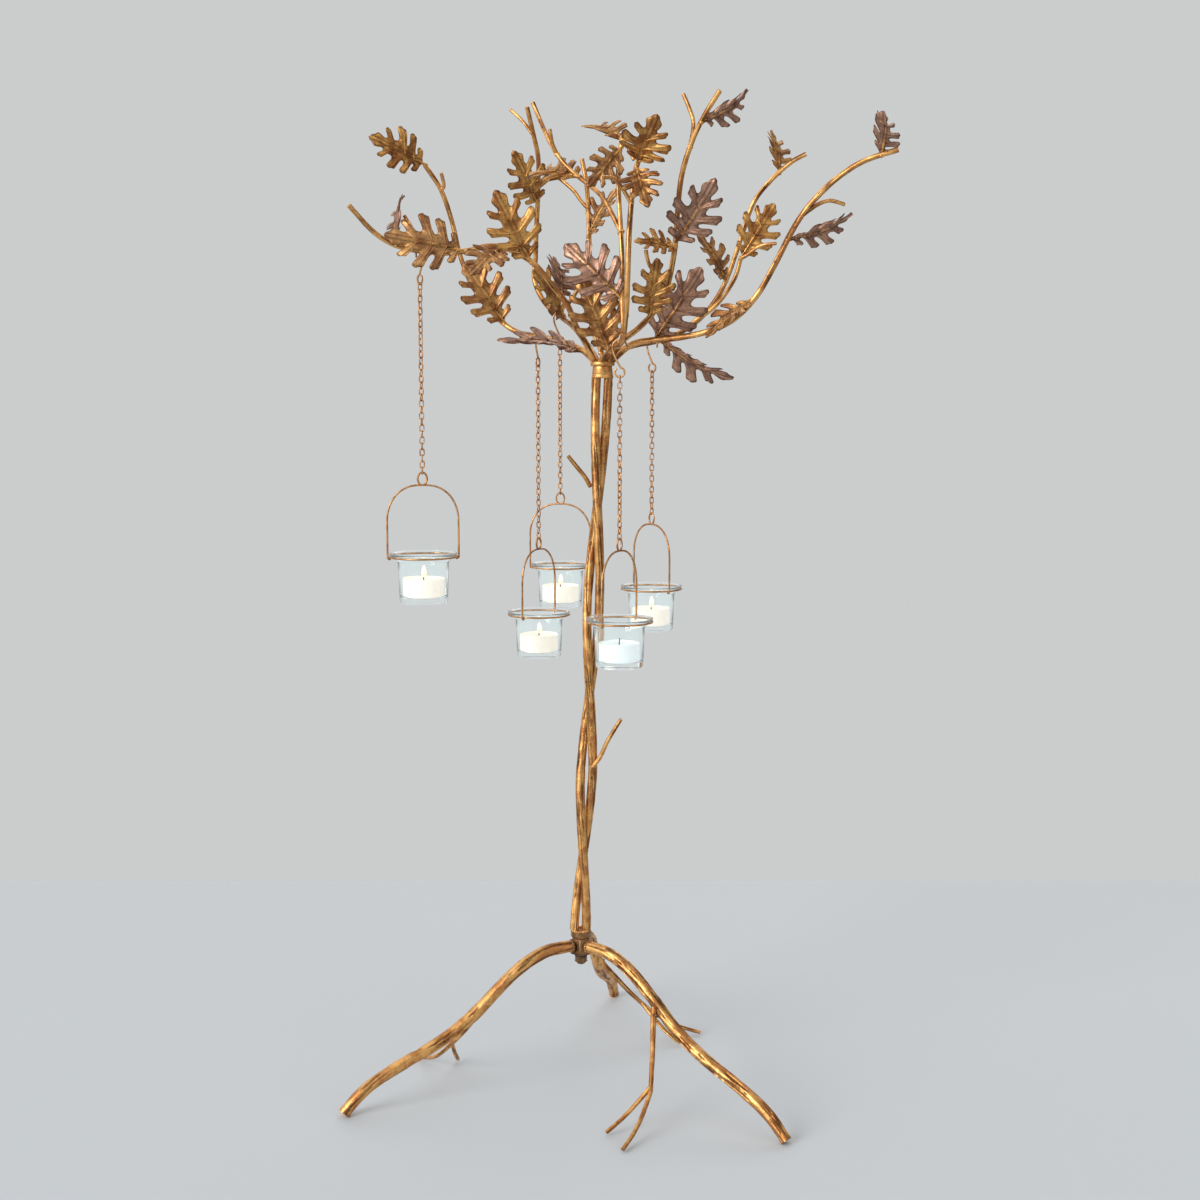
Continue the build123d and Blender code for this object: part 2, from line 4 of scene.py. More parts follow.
import bmesh
import bpy
from mathutils import Matrix, Vector, noise

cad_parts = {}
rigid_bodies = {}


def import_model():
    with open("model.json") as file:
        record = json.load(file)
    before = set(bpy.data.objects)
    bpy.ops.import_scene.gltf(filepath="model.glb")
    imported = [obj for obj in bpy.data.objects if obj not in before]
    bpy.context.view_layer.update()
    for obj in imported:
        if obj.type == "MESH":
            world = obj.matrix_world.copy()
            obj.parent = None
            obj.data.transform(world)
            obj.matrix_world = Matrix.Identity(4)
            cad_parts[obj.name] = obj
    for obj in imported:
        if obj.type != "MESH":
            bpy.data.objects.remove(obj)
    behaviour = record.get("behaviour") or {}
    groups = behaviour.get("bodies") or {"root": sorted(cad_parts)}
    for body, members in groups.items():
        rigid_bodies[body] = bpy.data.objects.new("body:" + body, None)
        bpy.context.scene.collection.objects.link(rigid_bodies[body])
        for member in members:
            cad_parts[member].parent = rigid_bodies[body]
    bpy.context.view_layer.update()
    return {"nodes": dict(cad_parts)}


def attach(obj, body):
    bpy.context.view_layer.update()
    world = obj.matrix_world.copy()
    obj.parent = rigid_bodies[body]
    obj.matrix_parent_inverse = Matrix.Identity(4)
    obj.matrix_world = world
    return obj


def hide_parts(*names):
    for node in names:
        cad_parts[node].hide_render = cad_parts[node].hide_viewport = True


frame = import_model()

# A tree-shaped candelabra. Sizes in the dictionaries are millimetres about the hub's upright axis,
# as in the part's source; spot() brings them to metres in the row frame.
planMiddle = (31.7, 34.7)

for leftOver in list(bpy.data.objects):
    if leftOver.type in {"MESH", "CAMERA", "LIGHT"} and leftOver.name not in frame["nodes"]:
        bpy.data.objects.remove(leftOver)


def spot(x, y, z):
    return Vector(((x - planMiddle[0]) / 1000, (y - planMiddle[1]) / 1000, z / 1000))


# ---- helpers for nodes, finishes and meshes

def feed(tree, node, inputs):
    for key, value in inputs.items():
        if isinstance(value, bpy.types.NodeSocket):
            tree.links.new(value, node.inputs[key])
        else:
            node.inputs[key].default_value = value
    return node


def add(tree, kind, inputs=None, **settings):
    node = tree.nodes.new(kind)
    for key, value in settings.items():
        setattr(node, key, value)
    return feed(tree, node, inputs or {})


def calc(tree, operation, a, b=0.0):
    return add(tree, "ShaderNodeMath", {0: a, 1: b}, operation=operation).outputs[0]


def times(tree, product, *factors):
    for factor in factors:
        product = calc(tree, "MULTIPLY", product, factor)
    return product


def spread(tree, value, low, high, start=0.0, stop=1.0):
    return add(tree, "ShaderNodeMapRange", {0: value, 1: low, 2: high, 3: start, 4: stop},
               interpolation_type="SMOOTHSTEP").outputs[0]


def mixColour(tree, factor, a, b):
    return add(tree, "ShaderNodeMix", {0: factor, 6: a, 7: b}, data_type="RGBA").outputs[2]


def noiseAt(tree, where, scale, detail=3.0, rough=0.55):
    return add(tree, "ShaderNodeTexNoise",
               {"Vector": where, "Scale": scale, "Detail": detail, "Roughness": rough}).outputs[0]


def vector(tree, x, y, z):
    return add(tree, "ShaderNodeCombineXYZ", {0: x, 1: y, 2: z}).outputs[0]


def newTree(name, kind, taken, given):
    tree = bpy.data.node_groups.new(name, kind)
    for side, sockets in (("INPUT", taken), ("OUTPUT", given)):
        for label, value in sockets.items():
            tree.interface.new_socket(label, in_out=side, socket_type="NodeSocket" + value)
    return tree, tree.nodes.new("NodeGroupInput").outputs


def newFinish(name):
    material = bpy.data.materials.new(name)
    material.use_nodes = True
    tree = material.node_tree
    return material, tree, tree.nodes["Principled BSDF"]


def newMesh(name, places, edges=(), faces=(), **numbers):
    # each of the numbers is a list with a value for every point
    mesh = bpy.data.meshes.new(name)
    mesh.from_pydata(places, edges, faces)
    for label, values in numbers.items():
        mesh.attributes.new(label, "FLOAT", "POINT").data.foreach_set("value", values)
    return mesh


def newPiece(name, data, material=None):
    piece = bpy.data.objects.new(name, data)
    bpy.context.scene.collection.objects.link(piece)
    if material:
        data.materials.clear()
        data.materials.append(material)
    return piece


def settle(piece, body, slot, *nodes):
    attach(piece, body)
    if nodes:
        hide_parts(*nodes)
    return piece


def cleanMesh(mesh, sharpAngle, mergeReach=1e-7):
    bm = bmesh.new()
    bm.from_mesh(mesh)
    bmesh.ops.remove_doubles(bm, verts=bm.verts, dist=mergeReach)
    bmesh.ops.recalc_face_normals(bm, faces=bm.faces)
    bm.to_mesh(mesh)
    bm.free()
    mesh.shade_smooth()
    mesh.set_sharp_from_angle(angle=radians(sharpAngle))


# ---- camera, light and floor

viewPoint = {"place": (17.8, -1571.0, 650.0), "tiltDown": 6.98, "lens": 51.84, "sensor": 36.0,
             "clipEnd": 60.0}
lamps = {
    "keyLamp": {"from": (-0.8, -0.75, 0.42), "angle": 34, "strength": 2.4},
    "fillLamp": {"from": (0.9, -0.8, 0.55), "angle": 40, "strength": 0.45},
    "rearLamp": {"from": (0.35, 0.9, 0.8), "angle": 30, "strength": 0.35},
}
backdrop = {
    "wall": (0.60, 0.61, 0.61, 1), "lit": (1.0, 1.0, 1.0, 1), "shaded": (0.10, 0.09, 0.08, 1),
    # along each axis: where the light is least and fullest, and its share at those two places
    "along": {"X": (0.7, -0.6, 0.30, 1.0), "Y": (-0.95, 0.25, 0.55, 1.0),
              "Z": (-0.30, 0.75, 0.45, 1.0)},
    "strength": 1.1, "floor": (0.53, 0.56, 0.585, 1), "floorRough": 0.6, "floorSize": (6.0, 4.0),
    "floorBack": 0.63,
}


def makeCamera(view):
    data = bpy.data.cameras.new("photoView")
    data.lens = view["lens"]
    data.sensor_width = view["sensor"]
    data.clip_end = view["clipEnd"]
    eye = newPiece("photoView", data)
    eye.location = spot(*view["place"])
    eye.rotation_euler = (radians(90 - view["tiltDown"]), 0, 0)
    bpy.context.scene.camera = eye


def makeLamp(name, lamp):
    data = bpy.data.lights.new(name, "SUN")
    data.energy = lamp["strength"]
    data.angle = radians(lamp["angle"])
    thing = newPiece(name, data)
    thing.location = lamp["from"]
    thing.rotation_euler = (-Vector(lamp["from"])).to_track_quat("-Z", "Y").to_euler()


def makeWorld(look):
    world = bpy.data.worlds.new("studio")
    bpy.context.scene.world = world
    world.use_nodes = True
    tree = world.node_tree
    # bright on the window's side and above, shaded behind the camera
    where = add(tree, "ShaderNodeTexCoord").outputs["Generated"]
    facing = add(tree, "ShaderNodeSeparateXYZ", {0: where}).outputs
    share = times(tree, *[spread(tree, facing[axis], *ends)
                          for axis, ends in look["along"].items()])
    light = mixColour(tree, share, look["shaded"], look["lit"])
    # the camera, and rays that have passed through glass, meet the wall's own colour
    rays = add(tree, "ShaderNodeLightPath").outputs
    passed = calc(tree, "MINIMUM", rays["Transmission Depth"], 1.0)
    seen = calc(tree, "MAXIMUM", rays["Is Camera Ray"], passed)
    strength = add(tree, "ShaderNodeMix", {0: seen, 2: look["strength"], 3: 1.0},
                   data_type="FLOAT").outputs[0]
    feed(tree, tree.nodes["Background"],
         {"Color": mixColour(tree, seen, light, look["wall"]), "Strength": strength})


def makeFloor(look):
    wide, deep = look["floorSize"]
    back = look["floorBack"]
    corners = [(-wide / 2, back - deep, 0), (wide / 2, back - deep, 0), (wide / 2, back, 0),
               (-wide / 2, back, 0)]
    material, tree, shader = newFinish("paleFloor")
    feed(tree, shader, {"Base Color": look["floor"], "Roughness": look["floorRough"]})
    floor = newPiece("floor", newMesh("floor", corners, faces=[(0, 1, 2, 3)]), material)


makeCamera(viewPoint)
for lampName, lamp in lamps.items():
    makeLamp(lampName, lamp)
makeWorld(backdrop)
makeFloor(backdrop)
print("stage set")

# ---- finishes

finishes = {
    "antiqueBrass": {"bright": (0.80, 0.44, 0.15, 1), "warm": (0.48, 0.205, 0.065, 1),
                     "dark": (0.085, 0.036, 0.014, 1), "scale": 70.0, "cover": 0.44, "soot": 0.78,
                     "metallic": 0.88, "bump": 0.22},
    "leafBrass": {"bright": (0.80, 0.43, 0.13, 1), "warm": (0.40, 0.165, 0.05, 1),
                  "dark": (0.040, 0.016, 0.007, 1), "scale": 80.0, "cover": 0.44, "soot": 0.90,
                  "metallic": 0.88, "bump": 0.40, "rosy": (0.56, 0.33, 0.25, 1)},
    "copperWire": {"bright": (0.68, 0.385, 0.17, 1), "warm": (0.47, 0.22, 0.09, 1),
                   "dark": (0.09, 0.035, 0.015, 1), "scale": 160.0, "cover": 0.30, "soot": 0.4,
                   "metallic": 0.92, "bump": 0.12},
    "darkBrass": {"bright": (0.34, 0.19, 0.085, 1), "warm": (0.18, 0.09, 0.04, 1),
                  "dark": (0.035, 0.018, 0.009, 1), "scale": 90.0, "cover": 0.45, "soot": 0.6,
                  "metallic": 0.85, "bump": 0.25},
    "turnedBrass": {"bright": (0.40, 0.28, 0.14, 1), "warm": (0.25, 0.16, 0.08, 1),
                    "dark": (0.05, 0.03, 0.015, 1), "scale": 120.0, "cover": 0.35, "soot": 0.5,
                    "metallic": 0.95, "bump": 0.10},
}
# the patina that all the metals share; pairs are the noise values between which a colour turns
patinaLook = {"broadDetail": 4.0, "fineScale": 7.0, "fineDetail": 6.0, "fineRough": 0.6,
              "warmth": (0.40, 0.62), "specks": (0.50, 0.72), "rough": 0.34, "dirtRough": 0.22,
              "grainRough": 0.14, "dirtDepth": 0.6, "rosyDepth": 0.62}
bumpDistance = 0.0006
waxSurface = {"rough": 0.32, "Coat Weight": 0.3}
plainLooks = {
    # unlit wax: its own white, plus a painted glow that stands in for the light it would get
    # through the glass
    "whiteWaxPaintedGlow": {"colour": (0.95, 0.95, 0.94, 1), "Emission Color": (0.92, 0.97, 1.0, 1),
                 "Emission Strength": 0.26, **waxSurface},
    # lit wax: its own warm white, plus a painted warm glow that stands in for the flame's light
    # shining in the wax
    "warmWaxPaintedFlameGlow": {"colour": (0.95, 0.92, 0.86, 1), "Emission Color": (1.0, 0.76, 0.54, 1),
                "Emission Strength": 0.42, **waxSurface},
    "blackRubber": {"colour": (0.022, 0.022, 0.022, 1), "rough": 0.62},
    "burntWick": {"colour": (0.09, 0.07, 0.06, 1), "rough": 0.9},
}
plainGrain = {"scale": 420.0, "detail": 4.0, "tint": (0.35, 0.70), "tintDepth": 0.86,
              "rough": (0.3, 0.7), "roughShares": (0.85, 1.2)}
# the glass has a faint painted glow, in pale aqua, that lightens its dark edges
glassLookPaintedGlow = {"Base Color": (0.955, 0.992, 0.990, 1), "Roughness": 0.015, "IOR": 1.33,
             "Transmission Weight": 1.0, "Emission Color": (0.78, 0.94, 0.97, 1),
             "Emission Strength": 0.04}
glassWave = {"scale": 55.0, "detail": 2.0, "bump": 0.06}
flameLook = {"foot": (0.85, 0.30, 0.08, 1), "middle": (1.0, 0.60, 0.20, 1),
             "tip": (1.0, 0.88, 0.55, 1), "base": (1.0, 0.8, 0.5, 1), "strength": 1.8,
             "footToMiddle": (0.0, 0.35), "middleToTip": (0.30, 0.65)}


def objectPlace(tree):
    return add(tree, "ShaderNodeTexCoord").outputs["Object"]


def painted(tree, name):
    return add(tree, "ShaderNodeAttribute", attribute_name=name).outputs["Fac"]


def darker(colour, share):
    return tuple(part * share for part in colour[:3]) + (1,)


def bumped(tree, strength, height):
    return add(tree, "ShaderNodeBump", {"Strength": strength, "Distance": bumpDistance,
                                        "Height": height}).outputs["Normal"]


def makePatina(look):
    taken = dict.fromkeys(("Bright", "Warm", "Dark"), "Color")
    taken.update(dict.fromkeys(("Groove", "Soot", "Scale", "Cover"), "Float"))
    tree, given = newTree("patina", "ShaderNodeTree", taken,
                          {"Color": "Color", "Roughness": "Float", "Height": "Float"})
    where = objectPlace(tree)
    broad = noiseAt(tree, where, given["Scale"], look["broadDetail"])
    fine = noiseAt(tree, where, times(tree, given["Scale"], look["fineScale"]),
                   look["fineDetail"], look["fineRough"])
    base = mixColour(tree, spread(tree, broad, *look["warmth"]), given["Bright"], given["Warm"])
    specks = times(tree, spread(tree, fine, *look["specks"]), given["Cover"])
    worn = calc(tree, "ADD", times(tree, given["Groove"], given["Soot"]), specks)
    dirt = calc(tree, "MINIMUM", worn, 1.0)
    dull = calc(tree, "ADD", times(tree, dirt, look["dirtRough"]), look["rough"])
    feed(tree, tree.nodes.new("NodeGroupOutput"), {
        "Color": mixColour(tree, dirt, base, given["Dark"]),
        "Roughness": calc(tree, "ADD", dull, times(tree, fine, look["grainRough"])),
        "Height": calc(tree, "SUBTRACT", fine, times(tree, dirt, look["dirtDepth"]))})
    return tree


patinaGroup = makePatina(patinaLook)


def metalFinish(name, look):
    material, tree, shader = newFinish(name)
    inputs = {label: look[label.lower()]
              for label in ("Bright", "Warm", "Dark", "Soot", "Scale", "Cover")}
    inputs["Groove"] = painted(tree, "groove")
    if "rosy" in look:
        tone = painted(tree, "rosyTone")
        inputs["Bright"] = mixColour(tree, tone, look["bright"], look["rosy"])
        inputs["Warm"] = mixColour(tree, tone, look["warm"],
                                   darker(look["rosy"], patinaLook["rosyDepth"]))
    patina = add(tree, "ShaderNodeGroup", inputs, node_tree=patinaGroup).outputs
    feed(tree, shader, {"Base Color": patina["Color"], "Roughness": patina["Roughness"],
                        "Normal": bumped(tree, look["bump"], patina["Height"]),
                        "Metallic": look["metallic"]})
    return material


def plainFinish(name, look):
    material, tree, shader = newFinish(name)
    look = dict(look)
    colour, rough = look.pop("colour"), look.pop("rough")
    grain = noiseAt(tree, objectPlace(tree), plainGrain["scale"], plainGrain["detail"])
    tint = spread(tree, grain, *plainGrain["tint"])
    ends = [rough * share for share in plainGrain["roughShares"]]
    feed(tree, shader, {
        "Base Color": mixColour(tree, tint, colour, darker(colour, plainGrain["tintDepth"])),
        "Roughness": spread(tree, grain, *plainGrain["rough"], *ends), **look})
    return material


def pressedGlass(look, wave):
    material, tree, shader = newFinish("clearGlass")
    height = noiseAt(tree, objectPlace(tree), wave["scale"], wave["detail"])
    feed(tree, shader, dict(look, Normal=bumped(tree, wave["bump"], height)))
    return material


def flameFinish(look):
    material, tree, shader = newFinish("flameGlow")
    up = painted(tree, "heightInFlame")
    low = mixColour(tree, spread(tree, up, *look["footToMiddle"]), look["foot"], look["middle"])
    glow = mixColour(tree, spread(tree, up, *look["middleToTip"]), low, look["tip"])
    feed(tree, shader, {"Emission Color": glow, "Emission Strength": look["strength"],
                        "Base Color": look["base"]})
    return material


metals = {name: metalFinish(name, look) for name, look in finishes.items()}
plains = {name: plainFinish(name, look) for name, look in plainLooks.items()}
glassFinish = pressedGlass(glassLookPaintedGlow, glassWave)
flameGlow = flameFinish(flameLook)
print("finishes made")


# ---- geometry trees and rods

def pathMesh(name, lines, closed):
    # each line: its points and the radii of its two ends
    places, edges, radii = [], [], []
    for points, root, tip in lines:
        first, last = len(places), len(points) - 1
        places += [spot(*point) for point in points]
        edges += [(first + i, first + i + 1) for i in range(last)]
        if closed:
            edges.append((first + last, first))
        radii += [(root + (tip - root) * i / last) / 1000 for i in range(last + 1)]
    return newMesh(name, places, edges, rodRadius=radii)


def geometryTree(name, sockets):
    return newTree(name, "GeometryNodeTree",
                   {"Geometry": "Geometry", **sockets, "Material": "Material"},
                   {"Geometry": "Geometry"})


def readNumber(tree, name):
    return add(tree, "GeometryNodeInputNamedAttribute", {"Name": name},
               data_type="FLOAT").outputs["Attribute"]


def writeNumber(tree, geometry, name, value):
    return add(tree, "GeometryNodeStoreNamedAttribute",
               {"Geometry": geometry, "Name": name, "Value": value},
               data_type="FLOAT", domain="POINT").outputs[0]


def realized(tree, geometry):
    return add(tree, "GeometryNodeRealizeInstances", {0: geometry}).outputs[0]


def pushedOut(tree, geometry, distance):
    normal = add(tree, "GeometryNodeInputNormal").outputs[0]
    offset = add(tree, "ShaderNodeVectorMath", {0: normal, "Scale": distance},
                 operation="SCALE").outputs[0]
    return add(tree, "GeometryNodeSetPosition", {0: geometry, "Offset": offset}).outputs[0]


def circleOf(tree, sides, radius):
    return add(tree, "GeometryNodeCurvePrimitiveCircle",
               {"Resolution": sides, "Radius": radius}).outputs[0]


def endTree(tree, geometry, material):
    dressed = add(tree, "GeometryNodeSetMaterial",
                  {0: realized(tree, geometry), "Material": material}).outputs[0]
    tree.links.new(dressed, tree.nodes.new("NodeGroupOutput").inputs[0])
    return tree


def runTree(name, mesh, tree, values, material, sharpAngle=50):
    piece = newPiece(name, mesh)
    modifier = piece.modifiers.new(tree.name, "NODES")
    modifier.node_group = tree
    values = dict(values, Material=material)
    for item in tree.interface.items_tree:
        if item.item_type == "SOCKET" and item.in_out == "INPUT" and item.name in values:
            modifier[item.identifier] = values[item.name]
    bpy.context.view_layer.update()
    graph = bpy.context.evaluated_depsgraph_get()
    made = bpy.data.meshes.new_from_object(piece.evaluated_get(graph),
                                           preserve_all_data_layers=True, depsgraph=graph)
    piece.modifiers.clear()
    piece.data = made
    made.name = name
    made.materials.clear()
    made.materials.append(material)
    made.polygons.foreach_set("material_index", [0] * len(made.polygons))
    cleanMesh(made, sharpAngle)
    return piece


# where on the noise a groove starts and is deepest, and the noise at which chips and swelling are 0
bark = {"detail": 2.0, "rough": 0.5, "groove": (0.50, 0.36), "chipScale": 3.5, "chipMiddle": 0.65,
        "chipShare": 0.8, "swellScale": 0.5, "swellMiddle": 0.62, "smoothing": 16}


def makeRodTree():
    # a rod along each line of the mesh, with lengthwise grooves cut into it
    tree, given = geometryTree("rodAlongPath", {
        "Step": "Float", "Sides": "Int", "Groove Depth": "Float", "Grooves Around": "Float",
        "Grooves Along": "Float", "Twist": "Float", "Swell": "Float", "Seed": "Float"})
    line = add(tree, "GeometryNodeMeshToCurve", {0: given["Geometry"]}).outputs[0]
    smooth = add(tree, "GeometryNodeCurveSplineType", {0: line},
                 spline_type="CATMULL_ROM").outputs[0]
    fine = add(tree, "GeometryNodeSetSplineResolution",
               {0: smooth, "Resolution": bark["smoothing"]}).outputs[0]
    even = add(tree, "GeometryNodeResampleCurve", {0: fine, "Length": given["Step"]},
               mode="LENGTH").outputs[0]
    reach = add(tree, "GeometryNodeSplineParameter").outputs
    circle = circleOf(tree, given["Sides"], 1.0)
    sweep = add(tree, "GeometryNodeCurveToMesh", {
        0: writeNumber(tree, even, "alongRod", reach["Length"]),
        "Profile Curve": writeNumber(tree, circle, "aroundRod", reach["Factor"]),
        "Scale": readNumber(tree, "rodRadius"), "Fill Caps": True}).outputs[0]
    along, around = readNumber(tree, "alongRod"), readNumber(tree, "aroundRod")
    turn = calc(tree, "ADD", times(tree, around, 2 * pi), times(tree, along, given["Twist"]))
    run = calc(tree, "ADD", times(tree, along, given["Grooves Along"]), given["Seed"])
    flat = [times(tree, calc(tree, wave, turn), given["Grooves Around"])
            for wave in ("COSINE", "SINE")]
    where = vector(tree, *flat, run)
    depth = given["Groove Depth"]
    groove = spread(tree, noiseAt(tree, where, 1.0, bark["detail"], bark["rough"]),
                    *bark["groove"])
    rough = noiseAt(tree, where, bark["chipScale"], bark["detail"], bark["rough"])
    bulge = noiseAt(tree, vector(tree, 0.0, 0.0, run), bark["swellScale"])
    swell = times(tree, calc(tree, "SUBTRACT", bulge, bark["swellMiddle"]), given["Swell"])
    cut = times(tree, groove, times(tree, depth, -1.0))
    chips = times(tree, calc(tree, "SUBTRACT", rough, bark["chipMiddle"]),
                  times(tree, depth, bark["chipShare"]))
    push = calc(tree, "ADD", calc(tree, "ADD", cut, chips), swell)
    grooved = writeNumber(tree, sweep, "groove", groove)
    return endTree(tree, pushedOut(tree, grooved, push), given["Material"])


rodTree = makeRodTree()
rodValues = ("Step", "Sides", "Groove Depth", "Grooves Around", "Grooves Along", "Twist", "Swell")
rodKinds = {
    "leg": (0.0014, 44, 0.0009, 1.7, 34.0, 5.0, 0.0026),
    "trunk": (0.0016, 40, 0.0007, 1.7, 26.0, 9.0, 0.0010),
    "root": (0.0012, 26, 0.0003, 1.2, 38.0, 4.0, 0.0006),
    "arm": (0.0015, 24, 0.00028, 1.0, 32.0, 6.0, 0.0006),
    "rib": (0.0012, 10, 0.0001, 1.0, 90.0, 0.0, 0.0001),
    "wire": (0.0007, 12, 0.00003, 0.8, 120.0, 30.0, 0.0),
}


def makeRods(name, lines, kind, seed, material, closed=False):
    values = dict(zip(rodValues, rodKinds[kind]), Seed=float(seed))
    return runTree(name, pathMesh(name, lines, closed), rodTree, values, material)


def restOnFloor(piece):
    for vertex in piece.data.vertices:
        vertex.co.z = max(vertex.co.z, 0.0)


def lathe(name, outline, centre, sides, material, closed=False, sharpAngle=35):
    places, faces, rings = [], [], []
    x, y, z = centre
    for reach, height in outline:
        count = sides if reach > 0 else 1
        rings.append(list(range(len(places), len(places) + count)))
        for i in range(count):
            a = 2 * pi * i / sides
            places.append(spot(x + reach * cos(a), y + reach * sin(a), z + height))
    pairs = list(zip(rings, rings[1:]))
    if closed:
        pairs.append((rings[-1], rings[0]))
    for low, high in pairs:
        for i in range(sides):
            j = (i + 1) % sides
            corners = [low[i % len(low)], low[j % len(low)], high[j % len(high)],
                       high[i % len(high)]]
            faces.append(list(dict.fromkeys(corners)))
    mesh = newMesh(name, places, faces=faces)
    cleanMesh(mesh, sharpAngle)
    return newPiece(name, mesh, material)


def drum(radius, height, foot, head):
    # insets from the rim: first with heights above the foot, then with depths below the head
    return ([(0, 0)] + [(radius - inset, up) for inset, up in foot]
            + [(radius - inset, height - down) for inset, down in head] + [(0, height)])


def hexBlock(name, reach, low, high, turn, bevel, material):
    far = reach / cos(radians(30))
    places = []
    for height in (low, high):
        for i in range(6):
            a = radians(turn + 60 * i)
            places.append(spot(far * cos(a), far * sin(a), height))
    faces = [list(range(6)), list(range(6, 12))]
    faces += [[i, (i + 1) % 6, 6 + (i + 1) % 6, 6 + i] for i in range(6)]
    mesh = newMesh(name, places, faces=faces)
    bm = bmesh.new()
    bm.from_mesh(mesh)
    bmesh.ops.bevel(bm, geom=bm.edges[:], offset=bevel / 1000, segments=3, affect="EDGES")
    bm.to_mesh(mesh)
    bm.free()
    cleanMesh(mesh, 40)
    return newPiece(name, mesh, material)


# ---- weld beads

beadLook = {"lumps": 0.0012, "lumpScale": 900.0, "detail": 2.0, "uneven": 0.18}


def makeBeadTree():
    tree, given = geometryTree("weldBeads", {"Lumps": "Float", "Seed": "Int"})
    size = readNumber(tree, "beadSize")
    ball = add(tree, "GeometryNodeMeshIcoSphere", {"Radius": 1.0, "Subdivisions": 3}).outputs[0]
    turn = add(tree, "FunctionNodeRandomValue", {"Seed": given["Seed"]},
               data_type="FLOAT_VECTOR").outputs[0]
    whole = add(tree, "ShaderNodeVectorMath", {0: turn, "Scale": 2 * pi},
                operation="SCALE").outputs[0]
    beads = add(tree, "GeometryNodeInstanceOnPoints", {
        "Points": given["Geometry"], "Instance": ball, "Rotation": whole,
        "Scale": vector(tree, size, size, size)}).outputs[0]
    where = add(tree, "GeometryNodeInputPosition").outputs[0]
    lump = noiseAt(tree, where, beadLook["lumpScale"], beadLook["detail"])
    push = times(tree, calc(tree, "SUBTRACT", lump, 0.5), given["Lumps"])
    return endTree(tree, pushedOut(tree, realized(tree, beads), push), given["Material"])


beadTree = makeBeadTree()


def beadRing(centre, along, reach, count, size):
    along = Vector(along).normalized()
    side = along.cross(Vector((0.13, 0.31, 0.94))).normalized()
    other = along.cross(side)
    beads = []
    for i in range(count):
        a = 2 * pi * i / count
        place = Vector(centre) + reach * (side * cos(a) + other * sin(a))
        beads.append((tuple(place), size * (1 + beadLook["uneven"] * sin(5 * i + centre[0]))))
    return beads


def makeBeads(name, beads, seed, material):
    mesh = newMesh(name, [spot(*place) for place, size in beads],
                   beadSize=[size / 1000 for place, size in beads])
    return runTree(name, mesh, beadTree, {"Lumps": beadLook["lumps"], "Seed": seed}, material)


# ---- base: hub, clamp, legs and side roots

hub = {"top": 139.0, "height": 15.0, "reach": 8.0, "turn": 21.7, "bevel": 0.8,
       "washerRadius": 6.0, "washerThickness": 3.0, "washerEdge": 0.5, "bore": 3.2,
       "boreEdge": 0.3, "nutReach": 5.0, "nutHeight": 5.0, "nutBevel": 0.35, "domeHeight": 3.0,
       "domeRadius": 4.6, "domeRise": 0.6}
leg = {"headings": {"left": 201.7, "right": 321.7, "back": 81.7}, "topRadius": 6.2,
       "footRadius": 5.75, "footDrop": 2.6, "reach": 229.0,
       "profile": [(32, 130), (52, 122), (71, 109), (90, 92), (107, 77), (126, 64), (146, 53),
                   (167, 44), (186, 35), (203, 26), (216, 16)]}
sideRoot = {"stem": [(86, 0, 95.6), (92, 10, 80), (101, 23, 62), (109, 35, 46), (116, 46, 33)],
            "prongs": [[(116, 46, 33), (120, 62, 20), (124, 80, 10), (128, 102, 3)],
                       [(114, 44, 36), (108, 57, 23), (102, 70, 12), (96, 84, 3)]],
            "radius": 2.95, "forkRadius": 2.2, "tipRadius": 2.0}
# welds about each leg, in the leg's own plan: centre, direction, reach, number and size of beads
baseWelds = [((9, 0, 131), (1, 0, 0), 5.2, 14, 1.5), ((91, 6, 85), (8, 10, -17), 2.7, 9, 1.2)]


def turnedAbout(point, heading):
    out, across, height = point
    h = radians(heading)
    return (out * cos(h) + across * sin(h), out * sin(h) - across * cos(h), height)


def makeClamp():
    dark = metals["darkBrass"]
    low = hub["top"] - hub["height"]
    block = hexBlock("hubBlock", hub["reach"], low, hub["top"], hub["turn"], hub["bevel"], dark)
    settle(block, "stand", "bark_rod", "hub")
    thick = hub["washerThickness"]
    inner, outer, chip, edge = hub["bore"], hub["washerRadius"], hub["boreEdge"], hub["washerEdge"]
    ring = [(inner, chip), (inner + chip, 0), (outer - edge, 0), (outer, edge),
            (outer, thick - edge), (outer - edge, thick), (inner + chip, thick),
            (inner, thick - chip)]
    washer = lathe("washerDisc", ring, (0, 0, low - thick), 64, plains["blackRubber"], closed=True)
    settle(washer, "stand", "rubber", "hub_washer")
    nutHigh = low - thick
    nutLow = nutHigh - hub["nutHeight"]
    nut = hexBlock("nutBody", hub["nutReach"], nutLow, nutHigh, 0, hub["nutBevel"], dark)
    settle(nut, "stand", "fixings", "hub_nut")
    wide, deep = hub["domeRadius"], hub["domeHeight"]
    dome = [(0, -deep)] + [(wide * sin(radians(a)), -deep * cos(radians(a)))
                           for a in range(15, 91, 15)]
    dome += [(wide, hub["domeRise"]), (0, hub["domeRise"])]
    settle(lathe("nutDome", dome, (0, 0, nutLow), 48, dark), "stand", "fixings")


